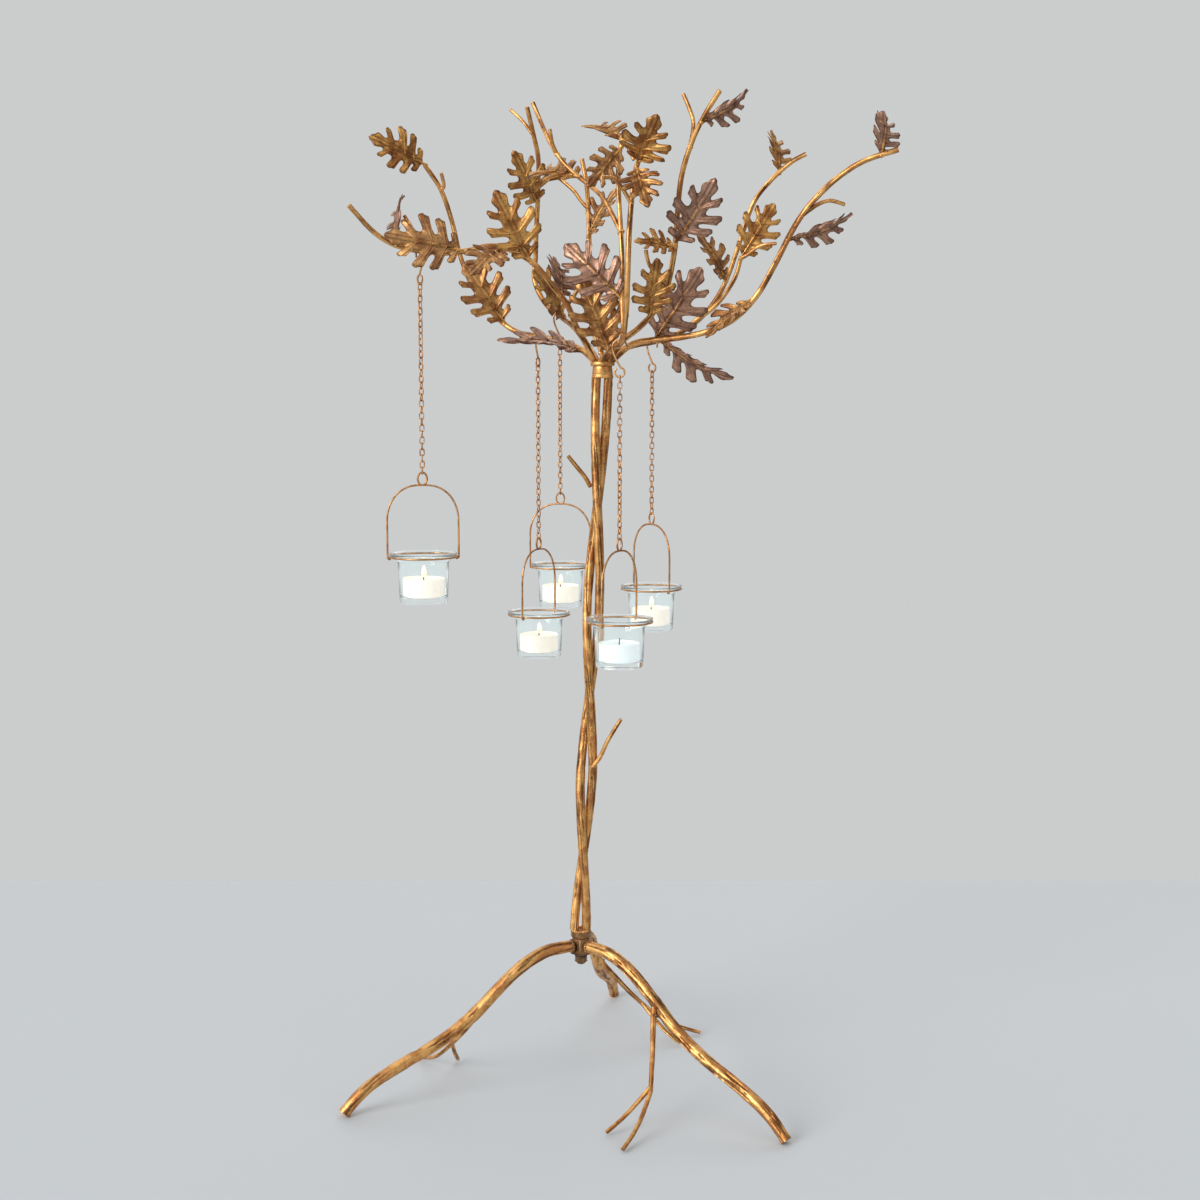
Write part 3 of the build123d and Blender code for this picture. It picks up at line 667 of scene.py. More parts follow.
def makeBase():
    brass = metals["antiqueBrass"]
    makeClamp()
    beads = []
    for number, (name, heading) in enumerate(leg["headings"].items()):
        def turned(points):
            return [turnedAbout(point, heading) for point in points]

        profile = [(hub["reach"] - 0.5, hub["top"] - hub["height"] / 2), *leg["profile"],
                   (leg["reach"], leg["footDrop"])]
        points = turned([(out, 0, height) for out, height in profile])
        title = name.capitalize()
        limb = makeRods("leg" + title, [(points, leg["topRadius"], leg["footRadius"])], "leg",
                        3 + 11 * number, brass)
        restOnFloor(limb)
        settle(limb, "stand", "bark_rod", "leg_" + name)
        lines = [(turned(sideRoot["stem"]), sideRoot["radius"], sideRoot["forkRadius"])]
        lines += [(turned(prong), sideRoot["forkRadius"], sideRoot["tipRadius"])
                  for prong in sideRoot["prongs"]]
        roots = makeRods("sideRoot" + title, lines, "root", 40 + 7 * number, brass)
        restOnFloor(roots)
        settle(roots, "stand", "bark_rod", "side_root_" + name)
        for centre, along, *sizes in baseWelds:
            beads += beadRing(*turned([centre, along]), *sizes)
    settle(makeBeads("baseWelds", beads, 4, metals["darkBrass"]), "stand", "bark_rod")
    stud = frame["nodes"]["trunk_stud"]
    stud.data.materials.clear()
    stud.data.materials.append(metals["turnedBrass"])
    print("base made")


# ---- trunk: twisted rods, twigs, foot plug, ferrule and collar

trunk = {"foot": (-1.0, 0.0), "head": (20.0, 0.0), "plugHeight": 7.0, "plugRadius": 9.5,
         "ferruleBottom": 660.0, "ferruleHeight": 10.0, "ferruleRadius": 9.6, "radius": 4.45,
         "offset": 4.9, "spreadOut": 0.6, "turns": 1.5, "tightening": 1.2, "steps": 40,
         "collarHeight": 4.0, "collarRadius": 11.0}
# the edges of the turned pieces: insets with heights from the foot, then with depths from the top
plugEdges = ([(2.2, 0), (1.2, 0.3), (0.4, 1.1), (0, 2.2)], [(0, 0.5), (0.5, 0)])
ferruleEdges = ([(0.6, 0), (0, 0.6), (0.1, 2.6), (0.5, 3.1), (0.3, 3.7), (0.8, 8.6)], [(1.1, 0)])
collarEdges = ([(1.2, 0), (0.4, 0.4), (0, 1.2)], [(0, 1.2), (0.4, 0.4), (1.2, 0)])
twigs = {"lines": [[(9, -5, 562), (4, -11, 571), (-3, -16, 580), (-11, -20, 590)],
                   [(11, -5, 303), (18, -8, 313), (25, -12, 329), (37, -17, 350)]],
         "radius": 2.25, "tipRadius": 1.95}


def strandLine(side):
    low, high = hub["top"] + trunk["plugHeight"], trunk["ferruleBottom"]
    points = []
    for i in range(trunk["steps"] + 1):
        share = i / trunk["steps"]
        height = high - (high - low) * share
        turn = 2 * pi * trunk["turns"] * share ** trunk["tightening"]
        off = trunk["offset"] + trunk["spreadOut"] * cos(turn) ** 2
        lean = (height - hub["top"]) / (trunk["ferruleBottom"] - hub["top"])
        x, y = [a + (b - a) * lean for a, b in zip(trunk["foot"], trunk["head"])]
        points.append((x - side * off * cos(turn), y - side * off * sin(turn), height))
    return points


def makeTrunk():
    brass, dark = metals["antiqueBrass"], metals["darkBrass"]
    for side, title in ((1, "Left"), (-1, "Right")):
        rod = makeRods("strand" + title, [(strandLine(side), trunk["radius"], trunk["radius"])],
                       "trunk", 60 + 9 * side, brass)
        settle(rod, "stand", "bark_rod", "strand_" + title.lower())
    lines = [(line, twigs["radius"], twigs["tipRadius"]) for line in twigs["lines"]]
    settle(makeRods("trunkTwigs", lines, "root", 21, brass), "stand", "bark_rod", "trunk_twigs")
    x, y = trunk["head"]
    ferruleLow, plugHigh = trunk["ferruleBottom"], hub["top"] + trunk["plugHeight"]
    collarLow = ferruleLow + trunk["ferruleHeight"]
    for name, kind, edges, centre, material, node in (
            ("footPlug", "plug", plugEdges, (0, 0, hub["top"]), dark, "foot_plug"),
            ("ferruleCup", "ferrule", ferruleEdges, (x, y, ferruleLow), brass, "ferrule"),
            ("crownCollar", "collar", collarEdges, (x, y, collarLow), brass, "crown_collar")):
        outline = drum(trunk[kind + "Radius"], trunk[kind + "Height"], *edges)
        settle(lathe(name, outline, centre, 64, material), "stand", "bark_rod", node)
    beads = beadRing((x, y, ferruleLow + 0.2), (0, 0, 1), 8.6, 26, 1.1)
    beads += beadRing((0, 0, plugHigh), (0, 0, 1), 7.6, 22, 1.3)
    settle(makeBeads("trunkWelds", beads, 8, brass), "stand", "bark_rod")
    print("trunk made")


# ---- crown: arms, branches, stubs

collarTop = trunk["ferruleBottom"] + trunk["ferruleHeight"] + trunk["collarHeight"]
rootCircle = 7.9
# radii of a stub at its root and tip, and what the bark adds to an arm's radius
stubRadii = (2.0, 1.8)
barkOnArm = 0.08
# heading of the weld on the collar, radii at root and tip, and the line that each follows
arms = {
    "front_left": dict(weld=205, root=2.9, tip=2.4, line=[
        (5, -10, 690), (-4, -20, 706), (-11, -28, 723), (-23, -35, 738), (-40, -43, 758),
        (-62, -48, 770), (-79, -51, 772), (-97, -52, 768), (-118, -53, 766), (-138, -54, 768),
        (-154, -57, 771), (-168, -63, 777), (-181, -70, 788), (-195, -78, 804)]),
    "left": dict(weld=160, root=2.9, tip=2.4, line=[
        (1, 25, 685), (-20, 55, 694), (-41, 80, 699), (-60, 97, 703), (-76, 107, 713),
        (-92, 113, 730), (-106, 117, 750), (-117, 118, 778), (-124, 118, 808), (-134, 114, 838),
        (-149, 110, 861)]),
    "back_left": dict(weld=118, root=2.9, tip=2.4, line=[
        (5, 50, 692), (-9, 104, 710), (-22, 160, 721), (-38, 184, 736), (-48, 195, 758),
        (-47, 196, 781), (-46, 190, 806), (-44, 182, 838), (-43, 170, 874), (-47, 162, 895),
        (-53, 150, 921)]),
    "back": dict(weld=79, root=2.6, tip=2.2, line=[
        (18, 20, 686), (12, 34, 702), (9, 48, 732), (8, 58, 773), (7, 62, 815), (5, 66, 840),
        (1, 68, 861)]),
    "back_right": dict(weld=36, root=2.9, tip=2.4, line=[
        (37, 40, 685), (53, 78, 691), (68, 110, 694), (86, 130, 699), (104, 141, 709),
        (118, 148, 720), (132, 153, 737), (144, 157, 760), (155, 160, 792), (168, 158, 830),
        (185, 154, 852), (203, 149, 868), (218, 146, 876)]),
    "right": dict(weld=-6, root=3.1, tip=2.6, line=[
        (46, -6, 689), (66, -13, 693), (89, -20, 695), (113, -28, 700), (136, -34, 711),
        (155, -38, 731), (169, -40, 755), (182, -42, 781), (192, -44, 798), (204, -47, 813),
        (221, -50, 829), (243, -56, 843), (272, -64, 852)]),
    "front_right": dict(weld=-50, root=2.9, tip=2.3, line=[
        (38, -18, 692), (52, -31, 703), (66, -42, 718), (76, -50, 738), (82, -56, 768),
        (84, -62, 797), (87, -66, 828), (94, -71, 853), (104, -79, 875), (118, -89, 897)]),
    "front": dict(weld=-95, root=2.9, tip=2.4, line=[
        (28, -30, 685), (35, -50, 688), (38, -66, 696), (40, -81, 715), (41, -90, 742),
        (42, -92, 775), (44, -90, 804), (47, -85, 828), (50, -82, 840)]),
}

# side branches: the arm and the point of its line that each is welded to, then its own line
branches = {
    "front_inner": dict(arm="front", at=3, root=2.6, tip=2.2, line=[
        (37, -62, 724), (37, -50, 742), (37, -44, 760), (36, -40, 785), (34, -37, 820),
        (34, -34, 846), (37, -30, 866)]),
    "back_right_inner": dict(arm="back_right", at=5, root=2.5, tip=2.2, line=[
        (114, 138, 718), (126, 136, 726), (138, 135, 739), (149, 132, 757), (154, 130, 775)]),
    "middle_rear": dict(arm="front_inner", at=4, root=2.4, tip=2.1, line=[
        (29, -31, 800), (20, -20, 817), (8, -8, 829), (-8, 7, 843), (-21, 17, 859),
        (-31, 25, 878), (-43, 38, 907)]),
}

# stubs and forks: the point of the arm's line that they leave, then their line
stubs = {
    "front_left": [(3, [(-4, -25, 733), (2, -21, 745)]),
                   (9, [(-130, -48, 774), (-144, -44, 786), (-152, -42, 799)])],
    "left": [(10, [(-131, 112, 842), (-133, 107, 853)])],
    "back_left": [(10, [(-57, 167, 909), (-70, 173, 922)])],
    "back": [(5, [(0, 66, 823), (-7, 72, 833), (-20, 82, 845)])],
    "back_right_inner": [(5, [(160, 127, 778), (172, 121, 786), (187, 116, 788)])],
    "right": [(9, [(206, -43, 808), (218, -38, 812), (231, -34, 809)])],
    "front_right": [(4, [(68, -55, 746), (60, -61, 756), (57, -64, 768)]),
                    (8, [(97, -66, 873), (94, -61, 886), (89, -56, 899)])],
    "front": [(7, [(36, -93, 817), (29, -97, 824), (20, -104, 824)])],
    "front_inner": [(7, [(42, -37, 858), (47, -42, 846)])],
    "middle_rear": [(5, [(-25, 13, 868), (-27, 11, 880)])],
}


def armLine(name):
    if name in arms:
        weld = radians(arms[name]["weld"])
        x, y = trunk["head"]
        start = (x + rootCircle * cos(weld), y + rootCircle * sin(weld), collarTop)
        return [start] + arms[name]["line"]
    branch = branches[name]
    return [armLine(branch["arm"])[branch["at"]]] + branch["line"]


def titled(name):
    return "".join(word.capitalize() for word in name.split("_"))


def makeArms():
    brass = metals["antiqueBrass"]
    beads = []
    for number, name in enumerate([*arms, *branches]):
        sizes = arms.get(name) or branches[name]
        line = armLine(name)
        lines = [(line, sizes["root"] - barkOnArm, sizes["tip"] - barkOnArm)]
        for at, stub in stubs.get(name, []):
            lines.append(([line[at]] + stub, *stubRadii))
            beads += beadRing(line[at], Vector(stub[0]) - Vector(line[at]), 1.6, 6, 1.1)
        arm = makeRods("arm" + titled(name), lines, "arm", 5 * number, brass)
        settle(arm, "stand", "bark_rod", "arm_" + name)
        beads += beadRing(line[0], Vector(line[1]) - Vector(line[0]), sizes["root"] * 0.9, 9, 1.2)
    settle(makeBeads("crownWelds", beads, 15, brass), "stand", "bark_rod")
    print("arms made")


# ---- oak leaves

leafShape = {
    # each lobe: where its vein leaves the midrib, the place of its tip, its half width, and the
    # place of the notch behind it
    "lobes": [(0.10, 0.19, 0.26, 0.046, 0.225, 0.115), (0.25, 0.40, 0.44, 0.062, 0.41, 0.165),
              (0.42, 0.62, 0.46, 0.064, 0.59, 0.165), (0.60, 0.81, 0.31, 0.050, 0.78, 0.11)],
    # round a lobe: share of its length, then along and across in half widths, and the foot
    "lobe": [(0.50, 0.0, -0.90, -0.035), (1.0, -1.40, -1.12, -0.015), (1.0, -0.80, -1.02, -0.010),
             (1.0, -0.50, -0.55, -0.004), (1.0, 0.05, -0.20, 0.0), (1.0, 0.02, 0.35, 0.004),
             (1.0, -0.60, 0.85, 0.010), (0.55, 0.0, 0.80, 0.030)],
    "start": [(0.0, 0.02), (0.06, 0.03)],
    "end": [(0.85, 0.14), (0.90, 0.145), (0.935, 0.09), (0.975, 0.06), (1.0, 0.0)],
    "widthShare": 0.72, "fold": 14.0, "crease": 0.02, "droop": 16.0, "droopFrom": 0.35,
    "droopEase": 0.30, "thickness": 0.75, "size": 60, "perPoint": 3, "across": 8,
    "towardsEdge": 1.25, "twist": 9.0, "narrowUp": 0.12, "narrowAcross": 0.58,
    # the relief: heights in millimetres on a leaf of that size, widths in points of the outline
    "midribHeight": 0.8, "midribWidth": 1.5, "midribTaper": 0.6, "veinHeight": 1.1,
    "veinWidth": 0.9, "besideWidth": 2.0, "puff": 0.9, "puffEnd": 1.35, "ripple": 2.4,
    "rippleScale": 0.055, "curl": 3.0, "curlFrom": 0.35, "curlGain": 2.2, "flick": (0.55, 0.75),
    "flickScale": 0.22, "rim": 0.86, "rimThinning": 0.3, "underside": (0.15, 0.8),
    # how dark the patina is along the rim, beside the veins and the midrib, and in the notches
    "rimDark": 0.75, "veinDark": 0.85, "midribDark": 0.70, "midribGap": 1.9, "gapDark": 0.5,
}
stalk = {"shares": (-0.01, 0.05, 0.12, 0.22, 0.34, 0.46, 0.58, 0.70, 0.82), "lift": 0.55,
         "rootLift": 0.25, "radii": (1.55, 0.55), "braze": 2.1}
# leaves that are narrower than the others
narrowLeaves = {"left": (), "middle": (), "right": (0, 2, 5, 8)}
# leaves whose shown face has the rosy brown of the bare sheet
rosyLeaves = {"left": (1, 7, 8), "middle": (9,), "right": (0, 1, 5, 6, 8, 10)}
# each leaf: its arm, the place along the arm's line, heading, rise, roll about the midrib, length
leaves = {
    "left": [
        ("left", 11.0, -135, 20, -95, 62), ("front_left", 11.2, 100, 55, -70, 58),
        ("front_left", 8.1, -155, 10, -90, 70), ("front_left", 5.1, -135, 55, -125, 68),
        ("left", 4.8, -155, 55, -100, 70), ("front_left", 6.3, -115, -20, -25, 56),
        ("back_left", 7.8, -110, 40, -135, 64), ("left", 0.9, -175, 15, -20, 78),
        ("front_left", 3.5, 90, 45, 45, 58), ("back_left", 2.7, -115, 45, -90, 66)],
    "middle": [
        ("middle_rear", 3.5, 140, 15, -35, 66), ("front_inner", 7.0, 125, 25, -10, 58),
        ("front_inner", 6.6, -140, -45, -75, 48), ("front", 8.9, -80, 20, 155, 64),
        ("front", 8.5, -80, -35, 15, 52), ("back", 4.4, -30, 62, 70, 50),
        ("front_right", 5.1, -150, 10, -60, 38), ("front", 0.8, -145, 65, -115, 70),
        ("back", 0.7, -60, 55, 100, 56), ("front_inner", 1.1, 170, 45, -75, 72)],
    "right": [
        ("front_right", 8.9, 35, 25, 125, 66), ("front_right", 5.2, -55, 40, 145, 68),
        ("back_right", 7.8, -120, 40, -110, 64), ("back_right_inner", 5.0, -5, 58, 95, 62),
        ("right", 5.8, -160, -30, -20, 54), ("right", 7.9, 15, 15, 135, 68),
        ("right", 12.5, 65, 60, 60, 50), ("back_right", 11.4, 90, 65, 45, 52),
        ("right", 2.2, -5, -35, 145, 74), ("front_right", 2.6, -80, 48, 175, 58),
        ("right", 2.0, -10, 55, 105, 76)],
}


def smoothLine(points, perPoint):
    made = []
    for i in range(len(points) - 1):
        a, b, c = points[max(i - 1, 0)], points[i], points[i + 1]
        d = points[min(i + 2, len(points) - 1)]
        for k in range(perPoint):
            t = k / perPoint
            made.append(tuple(0.5 * (2 * q + (r - p) * t + (2 * p - 5 * q + 4 * r - s) * t * t
                                     + (3 * q - p - 3 * r + s) * t ** 3)
                              for p, q, r, s in zip(a, b, c, d)))
    return made + [points[-1]]


def leafHeight(x, y, length):
    # the folded and drooping sheet, in millimetres above the plane of the stalk
    edge = leafShape["crease"] * length
    up = (hypot(y, edge) - edge) * tan(radians(leafShape["fold"]))
    past = max(0.0, x - leafShape["droopFrom"] * length)
    ease = leafShape["droopEase"] * length
    drop = past * past / (2 * ease) if past < ease else past - ease / 2
    return up - drop * tan(radians(leafShape["droop"]))


def leafOutline():
    # one edge from stalk to tip; the third number is where the point's row leaves the midrib
    made = [(x, y, x) for x, y in leafShape["start"]]
    veins, sinuses = [], []
    lobes = leafShape["lobes"]
    for number, (root, tipX, tipY, wide, notchX, notchY) in enumerate(lobes):
        reach = hypot(tipX - root, tipY)
        ax, ay = (tipX - root) / reach, tipY / reach
        veins.append(len(made) + 4)
        for share, along, beside, foot in leafShape["lobe"]:
            out, aside = share * reach + along * wide, beside * wide
            made.append((root + ax * out + ay * aside, ay * out - ax * aside, root + foot))
        after = lobes[number + 1][0] if number + 1 < len(lobes) else root + 0.2
        sinuses.append(len(made))
        made.append((notchX, notchY, (root + after) / 2))
    made += [(x, y, 0.75 + 0.25 * n / 4) for n, (x, y) in enumerate(leafShape["end"])]
    return smoothLine(made, leafShape["perPoint"]), veins, sinuses


def bell(value, middles, width):
    return max(exp(-((value - middle) / width) ** 2) for middle in middles)


def leafSurface(length, seed, narrow):
    # rows of (place on top, place below, darkness) from the stalk to the tip
    s = leafShape
    outline, veins, sinuses = leafOutline()
    size = length / s["size"]
    low, high = s["flick"]
    rows = []
    for i, (ox, oy, foot) in enumerate(outline):
        point = i / s["perPoint"]
        vein = bell(point, veins, s["veinWidth"])
        beside = bell(point, veins, s["besideWidth"]) - vein
        gap = bell(point, sinuses, s["besideWidth"])
        row = []
        for k in range(-s["across"], s["across"] + 1):
            share = (abs(k) / s["across"]) ** s["towardsEdge"]
            x = (foot + (ox - foot) * share) * length
            y = (1 if k > 0 else -1) * oy * s["widthShare"] * share * length
            z = leafHeight(x, y, length)
            wave = noise.noise(Vector((x * s["rippleScale"], y * s["rippleScale"], seed * 7.3)))
            z += s["ripple"] * wave * share * size
            drift = noise.noise(Vector((point * s["flickScale"], k > 0, seed * 3.1 + 9)))
            z -= (s["curl"] * size * max(0.0, share - s["curlFrom"]) ** 2 * s["curlGain"]
                  * (low + high * drift))
            z -= s["puff"] * size * gap * share * (s["puffEnd"] - share)
            z += y * (radians(s["twist"]) * sin(seed * 2.3) * x / length)
            if narrow:
                z += s["narrowUp"] * abs(y)
                y *= s["narrowAcross"]
            midrib = exp(-(y / s["midribWidth"]) ** 2) * (1 - s["midribTaper"] * x / length)
            ridge = s["midribHeight"] * midrib
            ridge += s["veinHeight"] * vein * size * (1 - share) ** 0.7
            rim = max(0.0, (share - s["rim"]) / (1 - s["rim"]))
            top = z + s["thickness"] * (1 - s["rimThinning"] * rim) + ridge
            below = z + s["underside"][0] * rim + s["underside"][1] * ridge * (1 - rim)
            dark = max(s["rimDark"] * rim ** 1.5, s["veinDark"] * beside * (1 - share) ** 0.4,
                       s["midribDark"] * exp(-((abs(y) - s["midribGap"]) / 0.9) ** 2),
                       s["gapDark"] * gap * share)
            row.append(((x, y, top), (x, y, below), min(1.0, dark)))
        rows.append(row)
    return rows


def leafPlace(arm, at, heading, rise, roll, length):
    line = armLine(arm)
    low = min(int(at), len(line) - 2)
    base = spot(*[a + (b - a) * (at - low) for a, b in zip(line[low], line[low + 1])])
    return (Matrix.Translation(base) @ Matrix.Rotation(radians(heading), 4, "Z")
            @ Matrix.Rotation(radians(-rise), 4, "Y") @ Matrix.Rotation(radians(roll), 4, "X")
            @ Matrix.Scale(0.001, 4))


def stalkLine(matrix, length):
    points = []
    for share in stalk["shares"]:
        x = share * length
        height = leafHeight(x, 0, length) + stalk["lift"] + stalk["rootLift"] * (1 - share)
        back = matrix @ Vector((x, 0, height))
        points.append(tuple(back[a] * 1000 + (planMiddle[a] if a < 2 else 0) for a in range(3)))
    return points


def makeLeaves(group):
    title, node = titled(group), "leaves_" + group
    places, faces, dark, rosy, ribs, beads = [], [], [], [], [], []
    for number, leaf in enumerate(leaves[group]):
        matrix = leafPlace(*leaf)
        rows = leafSurface(leaf[5], number + len(group), number in narrowLeaves[group])
        across = len(rows[0])
        first = len(places)
        tone = 0.85 if number in rosyLeaves[group] else 0.12 * (number % 3)
        for side in (0, 1):
            for row in rows:
                places += [matrix @ Vector(cell[side]) for cell in row]
                dark += [cell[2] * (1 - 0.4 * side) for cell in row]
                rosy += [max(tone, 0.8 * side)] * across
        below = len(rows) * across

        def at(i, k, side):
            return first + side * below + i * across + k

        for i in range(len(rows) - 1):
            for k in range(across - 1):
                quad = [at(i, k, 0), at(i + 1, k, 0), at(i + 1, k + 1, 0), at(i, k + 1, 0)]
                faces.append(quad[::-1])
                faces.append([corner + below for corner in quad])
            for k in (0, across - 1):
                faces.append([at(i, k, 0), at(i + 1, k, 0), at(i + 1, k, 1), at(i, k, 1)])
        for k in range(across - 1):
            faces.append([at(0, k, 0), at(0, k + 1, 0), at(0, k + 1, 1), at(0, k, 1)])
        points = stalkLine(matrix, leaf[5])
        ribs.append((points, *stalk["radii"]))
        beads.append((points[0], stalk["braze"]))
    mesh = newMesh("leaves" + title, places, faces=faces, groove=dark, rosyTone=rosy)
    cleanMesh(mesh, 70, 2e-5)
    blades = newPiece("leaves" + title, mesh, metals["leafBrass"])
    settle(blades, "stand", "leaf_sheet", node)
    rods = makeRods("leafRibs" + title, ribs, "rib", 31, metals["leafBrass"])
    settle(rods, "stand", "leaf_sheet", node)
    settle(makeBeads("leafBrazes" + title, beads, 6, metals["antiqueBrass"]), "stand",
           "leaf_sheet")
    print("leaves made:", group)


# ---- hangers: hook, chain, bail, ring, glass, tealight

# the arm, the point of its line that the hook sits on, the links, headings of hook and bail
hangers = {
    1: dict(arm="front_left", at=10, links=31, hook=125, bail=10),
    2: dict(arm="left", at=3, links=31, hook=70, bail=62),
    3: dict(arm="back_left", at=3, links=28, hook=20, bail=-12),
    4: dict(arm="front", at=2, links=27, hook=-10, bail=60),
    5: dict(arm="back_right", at=3, links=26, hook=-40, bail=-58),
}
hook = {"wire": 0.8, "shown": 0.9, "bend": 6.3, "drop": 22.0, "eye": 4.2, "gap": 0.3,
        # from bend to eye: across in bends, then down in millimetres
        "shank": [(0.92, 4), (0.6, 9.5), (0.2, 14.5)]}
link = {"wire": 1.0, "length": 7.6, "shown": 1.15, "shownWidth": 4.7, "sides": 8, "corner": 4}
bail = {"eyeWidth": 8.2, "eyeHeight": 11.0, "height": 63.0, "ringWire": 0.9, "ringShown": 0.97,
        "ringPoints": 36, "shoulder": 0.80}
# the flare is given by heights above the neck; the lip by insets and depths from the rim's edge
cup = {"rim": 30.0, "flare": 8.0, "edge": 0.8, "neck": 22.7, "foot": 21.2, "height": 44.0,
       "wall": 1.8, "floor": 5.0, "flareOutside": (1.6, 3.4, 5.2, 6.6),
       "flareInside": (6.2, 4.6, 2.6, 1.0), "insideShare": 0.92,
       "lip": [(0.12, 0.75), (0, 0.4), (0.25, 0.05), (0.8, 0), (1.3, 0.25)]}
tealight = {"radius": 18.6, "height": 16.4, "waxDip": 1.7, "wick": 5.6, "wickRadii": (0.65, 0.45),
            "flame": 11.5, "flameRadius": 2.1, "flameSink": 3.4, "lit": (1, 2, 3, 5),
            # a flame's outline: share of its height and of its radius
            "flameShape": [(0.0, 0.0), (0.05, 0.35), (0.14, 0.72), (0.26, 0.96), (0.38, 1.0),
                           (0.52, 0.84), (0.66, 0.60), (0.80, 0.34), (0.92, 0.13), (1.0, 0.0)]}
linkHole = link["length"] - 2 * link["wire"]
linkPitch = linkHole - hook["gap"]
bailReach = cup["rim"] + hook["wire"] + 0.5
ringRadius = bailReach - hook["wire"] - bail["ringWire"] - hook["gap"]


def rimHeight():
    out, up = cup["rim"] - cup["neck"], cup["flare"] - cup["edge"]
    off = (bail["ringWire"] + hook["gap"]) * hypot(out, up)
    return cup["edge"] + (off + (cup["rim"] - ringRadius) * up) / out


def hangerPlaces(hanger):
    line = armLine(hanger["arm"])
    at = hanger["at"]
    x, y, z = line[at]
    along = Vector(line[at + 1]) - Vector(line[at - 1])
    sizes = arms[hanger["arm"]]
    radius = sizes["root"] + (sizes["tip"] - sizes["root"]) * at / (len(line) - 1)
    slope = abs(along.z) / hypot(along.x, along.y)
    seat = radius * hypot(1, slope) + hook["wire"] * slope
    bend = seat + hook["gap"] + hook["wire"] - hook["bend"]
    eye = bend - hook["drop"] - hook["eye"]
    chainTop = eye + hook["wire"] + hook["gap"]
    chainEnd = chainTop - linkHole - (hanger["links"] - 1) * linkPitch
    bailEye = chainEnd + hook["gap"] + hook["wire"]
    ring = bailEye - bail["height"] - bail["eyeHeight"]
    return {"x": x, "y": y, "z": z, "bend": bend, "chainTop": chainTop, "ring": ring}


def around(radius, start, stop, centre=(0, 0), step=20):
    count = max(1, ceil(abs(stop - start) / step))
    angles = [radians(start + (stop - start) * i / count) for i in range(count + 1)]
    return [(centre[0] + radius * cos(a), centre[1] + radius * sin(a)) for a in angles]


def upright(points, place, lift, heading):
    # points (across, up) in an upright plane at that heading, through the hanger's line
    h = radians(heading)
    return [(place["x"] + a * cos(h), place["y"] + a * sin(h), place["z"] + lift + up)
            for a, up in points]


def makeWire(kind, number, lines, seed, closed=False):
    piece = makeRods(f"{kind}{number}", lines, "wire", seed, metals["copperWire"], closed)
    settle(piece, f"{kind}_{number}", "hanger_wire", f"{kind}_{number}")


def makeHook(number, hanger, place):
    centre = place["bend"]
    points = around(hook["bend"], -25, 180, (0, centre))
    points += [(-hook["bend"] * share, centre - down) for share, down in hook["shank"]]
    points += around(hook["eye"], 80, -235, (0, centre - hook["drop"]))
    line = upright(points, place, 0, hanger["hook"])
    makeWire("hook", number, [(line, hook["shown"], hook["shown"])], number)


def makeChainTree():
    tree, given = geometryTree("chainOfLinks", {"Length": "Float", "Width": "Float",
                                                "Wire": "Float", "Sides": "Int", "Corner": "Int"})
    wide = calc(tree, "SUBTRACT", given["Width"], given["Wire"])
    tall = calc(tree, "SUBTRACT", given["Length"], given["Wire"])
    box = add(tree, "GeometryNodeCurvePrimitiveQuadrilateral", {"Width": wide, "Height": tall})
    oval = add(tree, "GeometryNodeFilletCurve", {0: box.outputs[0], "Count": given["Corner"],
                                                 "Radius": times(tree, wide, 0.48)},
               mode="POLY").outputs[0]
    circle = circleOf(tree, given["Sides"], times(tree, given["Wire"], 0.5))
    ring = add(tree, "GeometryNodeCurveToMesh", {0: oval, "Profile Curve": circle}).outputs[0]
    chain = add(tree, "GeometryNodeInstanceOnPoints", {
        "Points": given["Geometry"], "Instance": ring,
        "Rotation": vector(tree, pi / 2, 0.0, readNumber(tree, "linkTurn"))}).outputs[0]
    return endTree(tree, chain, given["Material"])


chainTree = makeChainTree()


def makeChain(number, hanger, place):
    count = hanger["links"]
    first = hanger["hook"] + 90
    wanted = hanger["bail"] + 90
    twist = ((wanted - first - 90 * (count - 1) + 90) % 180 - 90) / (count - 1)
    top = place["z"] + place["chainTop"] - linkHole / 2
    mesh = newMesh(f"chain{number}",
                   [spot(place["x"], place["y"], top - i * linkPitch) for i in range(count)],
                   linkTurn=[radians(first + i * (90 + twist)) for i in range(count)])
    values = {"Length": link["length"] / 1000, "Width": link["shownWidth"] / 1000,
              "Wire": link["shown"] / 1000, "Sides": link["sides"], "Corner": link["corner"]}
    piece = runTree(f"chain{number}", mesh, chainTree, values, metals["copperWire"], 80)
    settle(piece, f"chain_{number}", "hanger_wire", f"chain_{number}")


def makeBail(number, hanger, place):
    spring = bail["height"] - bailReach
    right = around(bailReach - ringRadius, 0, -110, (ringRadius, 0), 27.5)
    left = [(-x, z) for x, z in reversed(right)]
    # squarer shoulders than a half circle
    arch = [((1 if a > 0 else -1) * bailReach * abs(a / bailReach) ** bail["shoulder"],
             spring + up) for a, up in around(bailReach, 180, 0, (0, 0), 10)]
    outline = left + [(-bailReach, spring * 0.5)] + arch + [(bailReach, spring * 0.5)] + right
    wide, tall = bail["eyeWidth"] / 2, bail["eyeHeight"] / 2
    oval = [(wide * x, bail["height"] + tall + tall * z) for x, z in around(1, -75, 255)]
    lines = [(upright(points, place, place["ring"], hanger["bail"]), hook["shown"], hook["shown"])
             for points in (outline, oval)]
    makeWire("bail", number, lines, 20 + number)


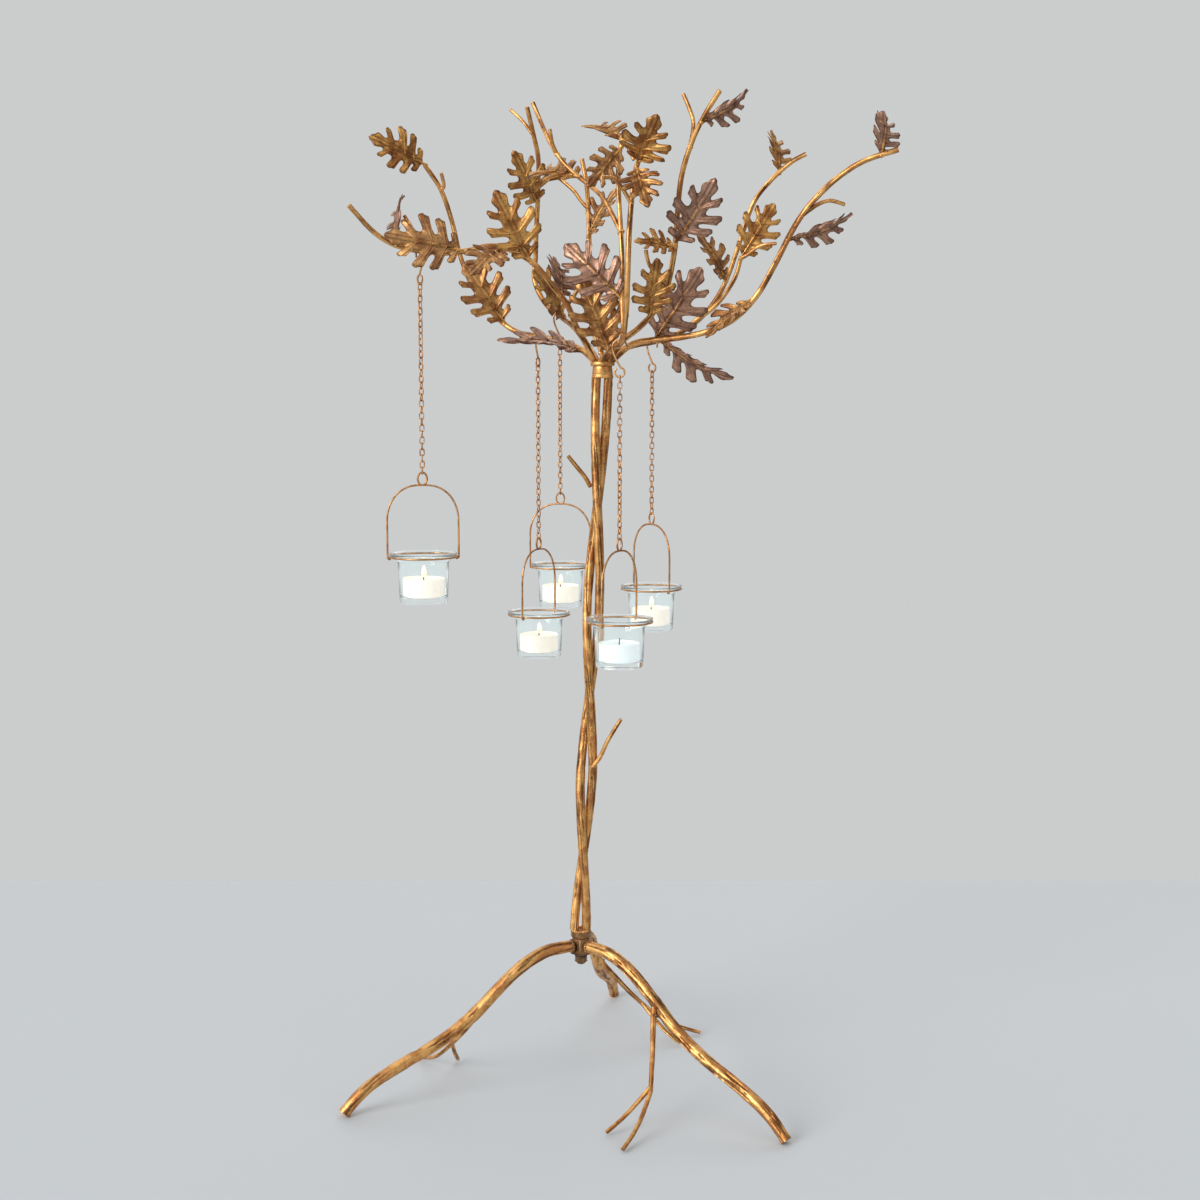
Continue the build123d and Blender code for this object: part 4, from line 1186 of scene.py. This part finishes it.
def makeRing(number, place):
    angles = [2 * pi * i / bail["ringPoints"] for i in range(bail["ringPoints"])]
    line = [(place["x"] + ringRadius * cos(a), place["y"] + ringRadius * sin(a),
             place["z"] + place["ring"]) for a in angles]
    radius = bail["ringWire"] * bail["ringShown"]
    makeWire("ring", number, [(line, radius, radius)], 50 + number, closed=True)


def makeGlass(number, place):
    top = rimHeight()
    low = top - cup["height"]
    neckTop = top - cup["flare"]
    slope = (cup["rim"] - cup["neck"]) / (cup["flare"] - cup["edge"])
    foot, neck, well = cup["foot"], cup["neck"], low + cup["floor"]
    outline = [(0, low + 0.6), (foot * 0.62, low + 0.5), (foot * 0.72, low + 0.1),
               (foot - 1.6, low), (foot - 0.5, low + 0.35), (foot, low + 1.3),
               (foot + 0.4, low + 10), (neck - 0.5, neckTop - 8), (neck - 0.15, neckTop - 1.5),
               (neck + 0.3, neckTop + 0.6)]
    outline += [(neck + slope * up, neckTop + up) for up in cup["flareOutside"]]
    outline += [(cup["rim"] - inset, top - down) for inset, down in cup["lip"]]
    inner = neck - cup["wall"]
    outline += [(inner + slope * up * cup["insideShare"], neckTop + up)
                for up in cup["flareInside"]]
    base = foot - cup["wall"]
    outline += [(inner + 0.05, neckTop - 0.6), (inner - 0.5, neckTop - 9), (base + 0.1, well + 3),
                (base - 0.6, well + 0.8), (base - 2.2, well + 0.05), (0, well)]
    centre = (place["x"], place["y"], place["z"] + place["ring"])
    piece = lathe(f"glass{number}", outline, centre, 96, glassFinish, sharpAngle=50)
    settle(piece, f"glass_{number}", "clear_glass", f"glass_{number}")


def makeTealight(number, place):
    low = rimHeight() - cup["height"] + cup["floor"] + hook["gap"]
    x, y, z = place["x"], place["y"], place["z"] + place["ring"] + low
    r, h = tealight["radius"], tealight["height"]
    body = f"tealight_{number}"
    lit = number in tealight["lit"]
    waxTop = h - tealight["waxDip"]
    outline = [(0, 0.25), (r - 3, 0.25), (r - 2, 0), (r - 0.9, 0), (r - 0.25, 0.6), (r - 0.1, 1.6),
               (r - 0.15, h - 1.2), (r, h - 0.5), (r - 0.3, h), (r - 0.8, h - 0.3),
               (r - 1.2, waxTop + 0.4), (r - 3, waxTop), (7, waxTop - 0.6), (2, waxTop - 0.5),
               (1.1, waxTop - 0.1), (0, waxTop)]
    wax = lathe(f"wax{number}", outline, (x, y, z), 72, plains["warmWaxPaintedFlameGlow" if lit else "whiteWaxPaintedGlow"])
    settle(wax, body, "wax", body)
    tip = z + waxTop + tealight["wick"]
    line = [(x, y, z + waxTop - 1), (x, y, z + waxTop + 2.5), (x + 0.5, y + 0.2, tip)]
    wick = makeRods(f"wick{number}", [(line, *tealight["wickRadii"])], "wire", number,
                    plains["burntWick"])
    settle(wick, body, "wax")
    if not lit:
        return
    outline = [(max(0.0, wide) * tealight["flameRadius"], up * tealight["flame"])
               for up, wide in smoothLine(tealight["flameShape"], 4)]
    foot = (x + 0.4, y + 0.1, tip - tealight["flameSink"])
    flame = lathe(f"flame{number}", outline, foot, 32, flameGlow)
    heights = [v.co.z for v in flame.data.vertices]
    lowest, span = min(heights), max(heights) - min(heights)
    values = [(height - lowest) / span for height in heights]
    flame.data.attributes.new("heightInFlame", "FLOAT", "POINT").data.foreach_set("value", values)
    settle(flame, body, "wax")


def makeHangers():
    for number, hanger in hangers.items():
        place = hangerPlaces(hanger)
        makeHook(number, hanger, place)
        makeChain(number, hanger, place)
        makeBail(number, hanger, place)
        makeRing(number, place)
        makeGlass(number, place)
        makeTealight(number, place)
        print("hanger made:", number)


makeBase()
makeTrunk()
makeArms()
for leafGroup in leaves:
    makeLeaves(leafGroup)
makeHangers()

scene = bpy.context.scene
scene.view_settings.view_transform = "Standard"
